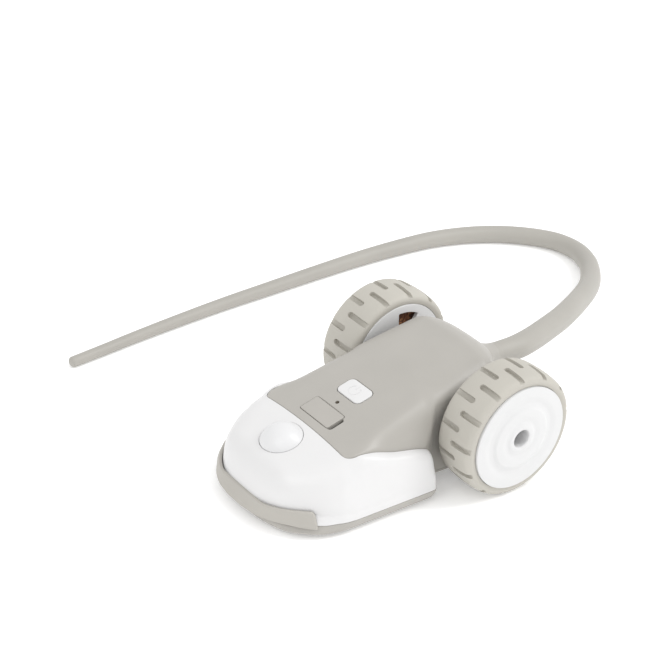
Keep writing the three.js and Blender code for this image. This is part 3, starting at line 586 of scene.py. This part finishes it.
def dried_leaf(name):
    """Crushed brown leaf: flakes of several browns with rough, broken edges."""
    look, shader = plain_material(name, (0.2, 0.09, 0.04), 0.95)
    tree = look.node_tree
    place = tree.nodes.new("ShaderNodeTexCoord")
    flakes = node(tree, "ShaderNodeTexVoronoi", Scale=1100.0)
    tree.links.new(place.outputs["Object"], flakes.inputs["Vector"])
    browns = tree.nodes.new("ShaderNodeValToRGB")
    browns.color_ramp.elements[0].color = (0.03, 0.012, 0.006, 1)
    browns.color_ramp.elements[1].color = (0.35, 0.17, 0.07, 1)
    middle = browns.color_ramp.elements.new(0.5)
    middle.color = (0.14, 0.05, 0.022, 1)
    tree.links.new(flakes.outputs["Color"], browns.inputs["Fac"])
    tree.links.new(browns.outputs["Color"], shader.inputs["Base Color"])
    bump = node(tree, "ShaderNodeBump", Strength=1.0, Distance=0.35 * MM)
    tree.links.new(flakes.outputs["Distance"], bump.inputs["Height"])
    tree.links.new(bump.outputs["Normal"], shader.inputs["Normal"])
    return look


LOOKS = {
    "body_grey": moulded("body_grey", (0.398, 0.382, 0.352), 0.4, grain=0.3, depth=0.01),
    "cover_white": moulded("cover_white", (0.69, 0.686, 0.686), 0.34, grain=0.8, depth=0.004, drift=0.012),
    "dome_white": moulded("dome_white", (0.69, 0.69, 0.695), 0.34, grain=0.8, depth=0.002, drift=0.006),
    "bumper_rubber": moulded("bumper_rubber", (0.425, 0.407, 0.372), 0.6, grain=0.35, depth=0.02),
    "flap_rubber": moulded("flap_rubber", (0.405, 0.387, 0.357), 0.5, grain=0.3, depth=0.015),
    "tail_silicone": moulded("tail_silicone", (0.378, 0.363, 0.331), 0.5, grain=0.5, depth=0.012),
    "tyre_rubber": moulded("tyre_rubber", (0.470, 0.451, 0.404), 0.62, grain=0.4, depth=0.025),
    "hub_white": moulded("hub_white", (0.66, 0.66, 0.66), 0.34, grain=0.8, depth=0.004, drift=0.012),
    "herb_brown": dried_leaf("herb_brown"),
    "steel": brushed("steel", (0.62, 0.63, 0.64), 0.32, (0.08, 1, 1)),
    "brass": brushed("brass", (0.62, 0.44, 0.16), 0.3, (0.1, 1, 1)),
    "gear_nylon": moulded("gear_nylon", (0.74, 0.71, 0.63), 0.45, grain=0.5, depth=0.01),
    "board_green": moulded("board_green", (0.02, 0.11, 0.045), 0.35, grain=0.6, depth=0.01, drift=0.12),
    "black_plastic": moulded("black_plastic", (0.022, 0.022, 0.024), 0.45, grain=0.3, depth=0.02, drift=0.1),
    "battery_sleeve": moulded("battery_sleeve", (0.06, 0.16, 0.34), 0.28, grain=1.2, depth=0.02, drift=0.05),
    "light_clear": moulded(
        "light_clear", (0.10, 0.075, 0.045), 0.12, grain=1.0, depth=0.003, Transmission_Weight=0.4
    ),
}

# ------------------------------------------------------------------ camera
CAMERA_AZIMUTH = math.radians(51.12)
CAMERA_ELEVATION = math.radians(29.42)
CAMERA_ROLL = math.radians(4.39)
CAMERA_DISTANCE = 613.1
CAMERA_AIM = Vector((-29.75, -25.70, 35.00))
CAMERA_LENS = 96.8


def make_camera():
    camera = bpy.data.objects.new("camera", bpy.data.cameras.new("camera"))
    bpy.context.scene.collection.objects.link(camera)
    bpy.context.scene.camera = camera
    camera.data.lens = CAMERA_LENS
    camera.data.sensor_width = 36
    camera.data.clip_start = 0.01
    a, e = CAMERA_AZIMUTH, CAMERA_ELEVATION
    back = Vector((math.sin(a) * math.cos(e), -math.cos(a) * math.cos(e), math.sin(e)))
    eye = (CAMERA_AIM + back * CAMERA_DISTANCE + Vector((0, AXLE_Y, 0))) * MM
    facing = back.to_track_quat("Z", "Y").to_matrix().to_4x4()
    camera.matrix_world = Matrix.Translation(eye) @ facing @ Matrix.Rotation(CAMERA_ROLL, 4, "Z")


# ------------------------------------------------------------------ tail
# The tail's centre line: straight out of the rear, down to the floor, round and forward beside the toy.
TAIL_ROUTE = [
    (0, 24.4, 27), (0, 28, 27), (0, 33.5, 26.9), (-1.5, 40, 26.4), (-4.4, 47.6, 25.3),
    (-8.9, 58, 23.7), (-14.2, 69, 21.6), (-20.2, 79.8, 19.4), (-26.6, 90.2, 16.8), (-32.6, 99.6, 14.6),
    (-38.8, 108.4, 12.2), (-45.4, 116.6, 9.9), (-52.4, 124, 7.9), (-58.6, 129.8, 6.4), (-65.4, 135, 5.2),
    (-76.2, 139.6, 4.2), (-87.1, 138.8, 3.8), (-96.3, 133, 3.6), (-104.6, 123.6, 3.5), (-109.6, 115, 3.4),
    (-113.4, 105.3, 3.35), (-116.3, 92.9, 3.3), (-117.5, 77.7, 3.2), (-117.7, 57.6, 3.1),
    (-116.7, 33.2, 2.9), (-115.2, 9.9, 2.8), (-113.8, -13.2, 2.6), (-111.6, -35.2, 2.5),
    (-109, -57.4, 2.3), (-107.4, -68.2, 2.25), (-106.2, -77.2, 2.2), (-105.3, -84.2, 2.15),
]


def smooth_route(stops, spacing):
    """Points evenly spaced along a centripetal Catmull-Rom curve through the stops, and its length."""
    points = [Vector(stop) for stop in stops]
    points = [points[0] * 2 - points[1], *points, points[-1] * 2 - points[-2]]
    fine = []
    for p0, p1, p2, p3 in zip(points, points[1:], points[2:], points[3:]):
        t0 = 0.0
        t1 = t0 + math.sqrt((p1 - p0).length)
        t2 = t1 + math.sqrt((p2 - p1).length)
        t3 = t2 + math.sqrt((p3 - p2).length)
        for k in range(24):
            t = t1 + (t2 - t1) * k / 24
            a = p0.lerp(p1, (t - t0) / (t1 - t0))
            b = p1.lerp(p2, (t - t1) / (t2 - t1))
            c = p2.lerp(p3, (t - t2) / (t3 - t2))
            early = a.lerp(b, (t - t0) / (t2 - t0))
            late = b.lerp(c, (t - t1) / (t3 - t1))
            fine.append(early.lerp(late, (t - t1) / (t2 - t1)))
    fine.append(points[-2])
    length = lengths_along(fine)[-1]
    return evenly(fine, round(length / spacing)), length


def make_tail():
    centres, length = smooth_route(TAIL_ROUTE, 1.5)
    thickness = follow([(0, TAIL_NECK), (4, TAIL_NECK), (11, TAIL_RADIUS), (length, TAIL_TIP_RADIUS)])
    sides = 40
    rings = []
    across = Vector((1, 0, 0))
    for i, centre in enumerate(centres):
        ahead = (centres[min(i + 1, len(centres) - 1)] - centres[max(i - 1, 0)]).normalized()
        across = (across - ahead * across.dot(ahead)).normalized()
        other = ahead.cross(across)
        radius = thickness(length * i / (len(centres) - 1))
        turns = [2 * math.pi * k / sides for k in range(sides)]
        spokes = [across * math.cos(t) + other * math.sin(t) for t in turns]
        rings.append([centre + spoke * radius for spoke in spokes])
    for k in range(1, 9):
        turn = math.pi / 2 * k / 8.4
        tip = centres[-1] + ahead * TAIL_TIP_RADIUS * 0.7 * math.sin(turn)
        rings.append([tip + spoke * TAIL_TIP_RADIUS * math.cos(turn) for spoke in spokes])
    tail = skin("silicone_tail", rings)
    settle(tail, LOOKS["tail_silicone"], "tail_silicone", "body", "tail")
    root = make_tail_root()


def make_tail_root():
    ends = [horn_rings(ROOT_START - 0.15, ROOT_START, 0.04), horn_rings(ROOT_END, ROOT_END + 0.15, 0.04)]
    root = skin("silicone_tail_root", ends[0] + horn_rings(ROOT_START + 0.01, ROOT_END - 0.01) + ends[1])
    return settle(root, LOOKS["tail_silicone"], "tail_silicone", "body", "tail_root")


# ------------------------------------------------------------------ shells
def make_upper_shell():
    front = SEAM + SEAM_GAP
    rings = [body_ring(front + 0.02, 0.22), body_ring(front + 0.08, 0.08)]
    rings += [body_ring(y) for y in between(front + 0.22, -52, 24, 1.6)]
    rings += [body_ring(y) for y in between(-51.2, -4, 54)]
    rings += [rear_ring(y) for y in between(-3.4, 15.6, 40) + between(15.9, BODY_REAR, 16)]
    rings += [rear_ring(y) for y in between(BODY_REAR + 0.3, ROOT_START, 10)]
    shell = skin("grey_upper_shell", rings)
    inner = [body_ring(y, WALL) for y in [SEAM - 2, *between(SEAM, -4, 50)]]
    hollow = skin("hollow", inner + [rear_ring(y, WALL) for y in between(-3.4, 14, 16)])
    flap_seat = deck_opening("seat", (FLAP_SIZE[0] + 0.3, FLAP_SIZE[1] + 0.3), 0.8, (0, 0), 5)
    notch = deck_opening("notch", (2.4, 6.2), 1.0, (FLAP_SIZE[0] / 2 + 0.1, -0.5), 5, 0.3)
    button_size = (BUTTON_SIZE[0] + 0.5, BUTTON_SIZE[1] + 0.5)
    button_hole = deck_opening("hole", button_size, 2.25, (0, BUTTON_U), 5)
    inner, outer = LIGHT_RADIUS + 0.15, LIGHT_RADIUS + 0.35
    rim = [(0, -5), (inner, -5), (inner, -0.15), (outer, 0.08), (outer, 3), (0, 3)]
    light_hole = deck_round("light", rim, LIGHT_U, 32)
    axle_hole = rod_x("axle_hole", 3.6, -30, 30, 0, TYRE_RADIUS)
    cut(shell, hollow, flap_seat, notch, button_hole, light_hole, axle_hole)
    return settle(shell, LOOKS["body_grey"], "body_grey", "body", "upper_shell")


def make_nose_cover():
    stations = between(NOSE_FRONT, -72, 34, 1.8) + between(-71.4, -29, 72)
    stations += between(-28.6, FENDER_REAR, 22, 0.8)
    cover = skin("white_nose_cover", [nose_ring(y) for y in stations])
    hollow = skin("hollow", [nose_ring(y, WALL) for y in between(NOSE_FRONT + WALL, FENDER_REAR - WALL, 60)])
    behind = between(SEAM - 0.02, -52, 24, 1.6) + between(-51, -15, 40)
    grey = skin("grey", [body_ring(y, -SEAM_GAP) for y in behind])
    inner, outer = DOME_RADIUS + 0.12, DOME_RADIUS + 0.3
    rim = [(0, -5), (inner, -5), (inner, -0.2), (outer, 0), (outer, 6), (0, 6)]
    dome_hole = deck_round("dome_hole", rim, DOME_U)
    cut(cover, hollow, grey, dome_hole)
    return settle(cover, LOOKS["cover_white"], "cover_white", "body", "nose_cover")


def nose_outline(inset, lean=0.0):
    """The base's outline from above as (x, y) points, moved in by an inset.

    Lean goes from 0 for the base's own outline to 1 for the cover's.
    """
    def half(y):
        return base_half(y) + (nose_foot(y) - base_half(y)) * lean

    side = [(x, BASE_FRONT) for x in between(0, half(BASE_FRONT), 6)[1:-1]]
    side += [(half(y), y) for y in between(BASE_FRONT, -72, 30, 1.8) + between(-70, -30, 30)]
    side += [(half(y), y) for y in between(-29, FENDER_REAR, 16, 0.8)]
    side += [(x, FENDER_REAR) for x in between(half(FENDER_REAR), 0, 8)[1:-1]]
    whole = [Vector(p) for p in side] + [Vector((-x, y)) for x, y in reversed(side)]
    moved = []
    for before, here, after in zip([whole[-1], *whole], whole, [*whole[1:], whole[0]]):
        along = (after - before).normalized()
        moved.append(here + Vector((-along.y, along.x)) * inset)
    return moved


def stack(name, outline, layers):
    """A closed solid over (inset, z) or (inset, z, lean) layers of an outline."""
    return skin(name, [[(p.x, p.y, z) for p in outline(inset, *lean)] for inset, z, *lean in layers])


def belly_outline(inset):
    half = BODY_HALF - inset
    side = [(half, -26), (half, 8), (18.6 - inset, 13.6), (14 - inset, 16.6 - inset)]
    corners = [Vector(p) for p in side] + [Vector((-x, y)) for x, y in reversed(side)]
    return softened(corners, 4, 6)


SCREWS = [(20, -64), (-20, -64), (13, 11), (-13, 11)]
SCREW_SEAT_RADIUS, SCREW_HOLE_RADIUS = 2.5, 1.4


def make_base_plate():
    rounding = [(1.5, 0), (0.75, 0.12), (0.3, 0.42), (0.05, 1.0)]
    rim = [(inset, BASE_BOTTOM + rise) for inset, rise in rounding]
    rim += [(0, BASE_BOTTOM + 1.5, 0.3), (0, BASE_TOP - 0.15, 1), (0.15, BASE_TOP, 1)]
    plate = stack("grey_base_plate", nose_outline, rim)
    lip = stack("lip", nose_outline, [(WALL + 1.1, BASE_TOP - 1, 1), (WALL + 1.1, BASE_TOP + 1.2, 1)])
    belly = stack(
        "belly", belly_outline,
        [(0.9, BELLY_BOTTOM), (0.3, BELLY_BOTTOM + 0.1), (0, BELLY_BOTTOM + 0.5), (0, BASE_TOP + 0.05)],
    )
    combine(plate, "UNION", lip, belly)
    inside = stack("inside", nose_outline, [(WALL + 2.2, BASE_BOTTOM + 1.5, 1), (WALL + 2.2, 9, 1)])
    well = box("well", (-ROLLER_HALF - 0.6, ROLLER_Y - 5.1, 0), (ROLLER_HALF + 0.6, ROLLER_Y + 5.1, 9))
    saddles = []
    for x in (-8.3, 8.3):
        low, high = (x - 1.3, ROLLER_Y - 2.6, BASE_BOTTOM + 1), (x + 1.3, ROLLER_Y + 2.6, 7)
        saddles.append(box("saddle", low, high))
    cut(plate, inside)
    combine(plate, "UNION", *saddles)
    seats = []
    for x, y in SCREWS:
        floor = BASE_BOTTOM if y < 0 else BELLY_BOTTOM
        seats.append(rod_z("seat", SCREW_SEAT_RADIUS, 0, floor + 0.7, x, y))
        seats.append(rod_z("hole", SCREW_HOLE_RADIUS, 0, 9, x, y, 24))
    cut(plate, well, joined("seats", seats))
    return settle(plate, LOOKS["body_grey"], "body_grey", "body", "base_plate")


def cover_edge(z, steps=60):
    """The cover's outline at height z, from the nose's middle back to the bumper's end."""
    share = (z - SHELL_BOTTOM) / (COVER_CORNER - SHELL_BOTTOM)
    front = NOSE_FRONT + 2.2 * share
    edge = []
    for y in between(front, BUMPER_BACK, steps, 1.6):
        edge.append(Vector((nose_foot(y) + (nose_half(y) - nose_foot(y)) * share, y)))
    start = edge[0].x
    return [Vector((start * k / 6, front)) for k in range(6)] + edge


def make_bumper():
    """A rubber strip round the nose, proud of the cover and leaning with it, with its two ends rounded."""
    both = []
    for z in (BUMPER_BOTTOM, BUMPER_TOP):
        edge = cover_edge(z)
        both.append(eased(evenly([Vector((-p.x, p.y)) for p in reversed(edge[1:])] + edge, 120), 8))
    path = both[0]
    step = (path[1] - path[0]).length
    rings = []
    for i, (foot, crest) in enumerate(zip(*both)):
        ahead = (path[min(i + 2, len(path) - 1)] - path[max(i - 2, 0)]).normalized()
        outward = Vector((ahead.y, -ahead.x))
        room = min(i, len(path) - 1 - i) * step
        share = math.sqrt(max(1 - (1 - min(room / 1.2, 1)) ** 2, 0))
        top = BUMPER_TOP + 0.6 * min(abs(foot.x) / 24, 1) ** 2 - 1.2 * (1 - share)
        rounding = math.sqrt(max(1 - (1 - min(room / 0.5, 1)) ** 2, 0))
        thick = BUMPER_END_THICK + (BUMPER_THICK - BUMPER_END_THICK) * rounding
        corners = [(0.1, BUMPER_BOTTOM), (thick, BUMPER_BOTTOM), (thick, top), (0.1, top)]
        ring = []
        for p in softened(corners, 0.5, 5):
            here = foot.lerp(crest, (p.y - BUMPER_BOTTOM) / (BUMPER_TOP - BUMPER_BOTTOM))
            ring.append((here.x + outward.x * p.x, here.y + outward.y * p.x, p.y))
        rings.append(ring)
    bumper = skin("rubber_front_bumper", rings)
    return settle(bumper, LOOKS["bumper_rubber"], "bumper_rubber", "body", "front_bumper")


# ------------------------------------------------------------------ deck pieces
def make_dome():
    sphere = (DOME_RADIUS ** 2 + DOME_HEIGHT ** 2) / (2 * DOME_HEIGHT)
    reach = math.asin(DOME_RADIUS / sphere)
    outer = [(0, DOME_HEIGHT)]
    for turn in between(0, reach, 22)[1:]:
        outer.append((sphere * math.sin(turn), DOME_HEIGHT - sphere * (1 - math.cos(turn))))
    outer += [(DOME_RADIUS, -2.5), (8.1, -2.5), (8.1, -3.1), (5.6, -3.1)]
    inner = [(r * 0.82, n - 1.1) for r, n in reversed(outer[:-4])]
    dome = deck_round("white_sensor_dome", outer + inner, DOME_U, 112)
    return settle(dome, LOOKS["dome_white"], "dome_white", "body", "sensor_dome")


def make_flap():
    flap = deck_plate("rubber_port_flap", FLAP_SIZE, 0.75, (0, 0), -1.4, 0.12, 0.22)
    plug = deck_plate("plug", (8, 2.2), 1.05, (0, 0), -1.2, -2.3, 0.2)
    combine(flap, "UNION", plug)
    return settle(flap, LOOKS["flap_rubber"], "flap_rubber", "port_flap", "port_flap")


def power_sign():
    """The usual sign for power as a cutting tool: a broken ring and a bar."""
    radius, width, opening = 1.95, 0.4, math.radians(34)
    rings = []
    for turn in between(math.pi / 2 + opening, math.pi * 2.5 - opening, 40):
        ring = []
        for r, n in [(radius, 0.0), (radius + width, 0.0), (radius + width, 1.5), (radius, 1.5)]:
            ring.append(on_deck(r * math.cos(turn), BUTTON_U - 0.2 + r * math.sin(turn), n + 0.24))
        rings.append(ring)
    stroke = rectangle((0.42, 2.1), 0.18, 0, (0, BUTTON_U + 1.35))
    bar = deck_solid("bar", [(stroke, n) for n in (0.24, 1.7)])
    return skin("ring", rings), bar


def make_button():
    button = deck_plate("white_power_button", BUTTON_SIZE, 2.0, (0, BUTTON_U), -2.4, 0.2, 0.28, 0.16)
    flange = deck_plate("flange", (13.8, 9.1), 2.0, (0, BUTTON_U), -3.1, -2.2, 0.1)
    combine(button, "UNION", flange)
    cut(button, *power_sign())
    return settle(button, LOOKS["cover_white"], "cover_white", "power_button", "power_button")


def make_socket():
    """The charging receptacle: a drawn steel mouth round a black tongue with two rows of contacts."""
    outside = [(rectangle(SOCKET_SIZE, 1.75, inset), n) for inset, n in [(0, -6.7), (0, -2.05), (0.1, -1.9)]]
    flare = [(0, -6), (0, -2.1), (-0.15, -1.8), (-0.15, 0)]
    inside = [(rectangle(SOCKET_MOUTH, 1.4, inset), n) for inset, n in flare]
    can = cut(deck_solid("steel_charge_socket", outside), deck_solid("mouth", inside))
    settle(can, LOOKS["steel"], "steel", "body", "charge_socket")
    tongue = deck_plate("charge_socket_tongue", (6.7, 0.75), 0.15, (0, 0), -6, -2.5, 0.08)
    contacts = []
    for x in range(12):
        for side in (-1, 1):
            pad = rectangle((0.28, 0.14), 0.03, 0, (x * 0.5 - 2.75, side * 0.4))
            contacts.append(deck_solid("contact", [(pad, n) for n in (-5.6, -2.9)]))
    settle(tongue, LOOKS["black_plastic"], "black_plastic", "body")
    settle(joined("charge_socket_contacts", contacts), LOOKS["brass"], "brass", "body")


# ------------------------------------------------------------------ wheels
def tread_slot(low, high, degrees, depth=1.6, width=1.95):
    """A cutting tool for one tread slot: open at its high end, rounded at its low end, softer at its rim."""
    radius = width / 2
    rings = []
    for rise, grow in [(-depth, -0.15), (0.2 - depth, 0), (-0.15, 0.03), (0.2, 0.22), (2, 0.22)]:
        r = radius + grow
        sign = 1 if high > low else -1
        outline = [(high, -r), (high, r)]
        for k in range(11):
            turn = math.pi * k / 10
            outline.append((low + sign * (radius - r * math.sin(turn)), r * math.cos(turn)))
        rings.append([(x, across, TYRE_RADIUS + rise) for x, across in outline])
    slot = skin("slot", rings)
    spin = Matrix.Rotation(math.radians(90 - degrees), 4, "X")
    slot.data.transform(Matrix.Translation((0, 0, TYRE_RADIUS)) @ spin)
    return slot


TREAD_PHASE = {"outer": 2.3, "inner": 16.1}


def make_tyre():
    middle = (WHEEL_INNER + WHEEL_OUTER) / 2
    half = WHEEL_OUTER - middle
    shoulder = bend(Vector((19.9, half)), Vector((22.0, half)), Vector((22.2, half - 2.9)), 11)
    tread = [Vector((TYRE_RADIUS - 0.3 * ((k / 7) ** 2), (half - 2.9) * k / 7)) for k in range(6, 0, -1)]
    side = [Vector((18.85, half - 0.25)), *shoulder, *tread]
    across = side + [Vector((TYRE_RADIUS, 0))] + [Vector((p.x, -p.y)) for p in reversed(side)]
    tyre = lathe_x("tyre", [(p.x, middle + p.y) for p in across], 180)
    slots = []
    for slot in range(TREAD_SLOTS):
        turn = slot * 360 / TREAD_SLOTS
        slots.append(tread_slot(middle - 0.8, WHEEL_OUTER + 1, TREAD_PHASE["outer"] + turn))
        slots.append(tread_slot(middle + 1.7, WHEEL_INNER - 1, TREAD_PHASE["inner"] + turn))
    return cut(tyre, joined("slots", slots))


def make_outer_hub():
    heights = [
        (HUB_HOLE_RADIUS, 0.55), (4.7, 0.6), (5.7, 0.15), (6.5, 0.05), (8.1, 0.35), (10.8, 0.3),
        (11.7, -0.25), (13.2, -0.4), (15.1, 0), (HUB_RADIUS - 0.1, -0.02),
    ]
    face = [(HUB_HOLE_RADIUS, 33)] + [(radius, HUB_FACE + out) for radius, out in heights]
    face += [(HUB_RADIUS, HUB_FACE - 0.3), (HUB_RADIUS, 31.8), (HUB_RIM_INNER, 31.8)]
    face += [(HUB_RIM_INNER, 37), (HUB_BOSS, 37), (HUB_BOSS, 33)]
    return lathe_x("outer_hub", softened(face, 0.6, 4), 144)


def make_inner_hub():
    profile = [
        (1.8, 23.8), (4.6, 23.8), (5.2, 24.3), (7.4, 24.3), (8, 23.9),
        (HUB_RADIUS, 23.8), (HUB_RADIUS, 31.2),
        (HUB_RIM_INNER, 31.2), (HUB_RIM_INNER, 25.2), (HUB_BOSS, 25.2), (HUB_BOSS, 32.4), (1.8, 32.4),
    ]
    hub = lathe_x("inner_hub", softened(profile, 0.35, 3), 144)
    inner, outer, half = 9.0, 15.8, 0.29
    arc = [(outer * math.sin(t), outer * math.cos(t)) for t in between(-half, half, 10)]
    arc += [(inner * math.sin(t), inner * math.cos(t)) for t in between(half, -half, 10)]
    outline = softened(arc, 0.7, 3)
    windows = []
    for quarter in range(4):
        window = skin("window", [[(x, p.x, p.y) for p in outline] for x in (22, 25.5)])
        turn = Matrix.Rotation(math.radians(79 - 90 + 90 * quarter), 4, "X")
        window.data.transform(Matrix.Translation((0, 0, TYRE_RADIUS)) @ turn)
        windows.append(window)
    return cut(hub, joined("windows", windows))


def make_herb_pad():
    """A pressed ring of dried leaf, lumpy all over."""
    profile = softened([(5.4, 25.6), (16.7, 25.6), (16.7, 36.6), (5.4, 36.6)], 1.0, 4)
    dense = []
    for a, b in zip(profile, [*profile[1:], profile[0]]):
        parts = max(1, round((b - a).length / 0.8))
        dense += [a.lerp(b, k / parts) for k in range(parts)]
    pad = lathe_x("herb_pad", dense, 120)
    middle = Vector((31, 0, TYRE_RADIUS))
    for vertex in pad.data.vertices:
        inward = (Vector((0, vertex.co.y, vertex.co.z - TYRE_RADIUS))).normalized()
        lump = noise.noise((vertex.co - middle) * 0.9) + noise.noise((vertex.co - middle) * 2.3) * 0.6
        push = Vector((1 if vertex.co.x < middle.x else -1, 0, 0)) - inward * 0.3
        vertex.co += push * (0.35 + 0.3 * lump)
    return pad


def make_wheels():
    pieces = [
        ("tyre", make_tyre(), "tyre_rubber"), ("outer_hub", make_outer_hub(), "hub_white"),
        ("inner_hub", make_inner_hub(), "hub_white"), ("herb_pad", make_herb_pad(), "herb_brown"),
    ]
    for name, left, slot in pieces:
        right = mirrored(left, f"right_wheel_{name}")
        left.name = f"left_wheel_{name}"
        settle(left, LOOKS[slot], slot, "left_wheel", f"left_{name}")
        settle(right, LOOKS[slot], slot, "right_wheel", f"right_{name}")


def make_roller():
    ends = (-ROLLER_HALF, ROLLER_HALF)
    profile = [(1.3, ends[0]), (ROLLER_RADIUS, ends[0]), (ROLLER_RADIUS, ends[1]), (1.3, ends[1])]
    roller = lathe_x("white_front_roller", softened(profile, 0.7, 5), 72, ROLLER_Y, ROLLER_RADIUS)
    settle(roller, LOOKS["hub_white"], "hub_white", "front_roller", "front_roller")


# ------------------------------------------------------------------ carried-over CAD nodes
def finish_cad_nodes():
    """Gives each CAD node that stays its slot's look, smooth round faces and fine bevels."""
    slots = {part["node"]: part["material_slot"] for part in frame["record"]["subparts"]}
    for name, obj in frame["nodes"].items():
        obj.data.materials.clear()
        obj.data.materials.append(LOOKS[slots[name]])
        if not obj.hide_render:
            shade(obj.data, 38)
            bevel = obj.modifiers.new("rims", "BEVEL")
            bevel.width = 0.08 * MM
            bevel.segments = 2
            bevel.limit_method = "ANGLE"
            bevel.angle_limit = math.radians(40)
            bevel.harden_normals = True


# ------------------------------------------------------------------ stage
def make_floor():
    size = 3.0
    mesh = bpy.data.meshes.new("floor")
    corners = [(-size, -size, 0), (size, -size, 0), (size, size, 0), (-size, size, 0)]
    mesh.from_pydata(corners, [], [(0, 1, 2, 3)])
    floor = bpy.data.objects.new("floor", mesh)
    bpy.context.scene.collection.objects.link(floor)
    look, shader = plain_material("floor_white", (0.92, 0.92, 0.92), 0.9)
    shader.inputs["Emission Color"].default_value = (1, 1, 1, 1)
    shader.inputs["Emission Strength"].default_value = 0.22
    mesh.materials.append(look)


def softbox(name, place, size, watts, aim=(0, 0, 0.02)):
    light = bpy.data.objects.new(name, bpy.data.lights.new(name, "AREA"))
    bpy.context.scene.collection.objects.link(light)
    light.data.shape = "RECTANGLE"
    light.data.size, light.data.size_y = size
    light.data.energy = watts
    light.location = place
    light.rotation_euler = (Vector(aim) - Vector(place)).to_track_quat("-Z", "Y").to_euler()


def make_lights():
    world = bpy.data.worlds.new("studio")
    bpy.context.scene.world = world
    world.use_nodes = True
    backdrop = world.node_tree.nodes["Background"]
    backdrop.inputs["Color"].default_value = (1, 1, 1, 1)
    backdrop.inputs["Strength"].default_value = 0.95
    softbox("key", (0.3, -0.9, 1.1), (0.9, 0.9), 3.0)
    softbox("side", (0.45, 0.66, 0.95), (0.22, 0.8), 5.6)
    bpy.context.scene.view_settings.view_transform = "Standard"


# ------------------------------------------------------------------ assembly
make_camera()
make_tail()
make_upper_shell()
make_nose_cover()
make_base_plate()
make_bumper()
make_dome()
make_flap()
make_button()
make_socket()
make_wheels()
make_roller()
finish_cad_nodes()
make_floor()
make_lights()
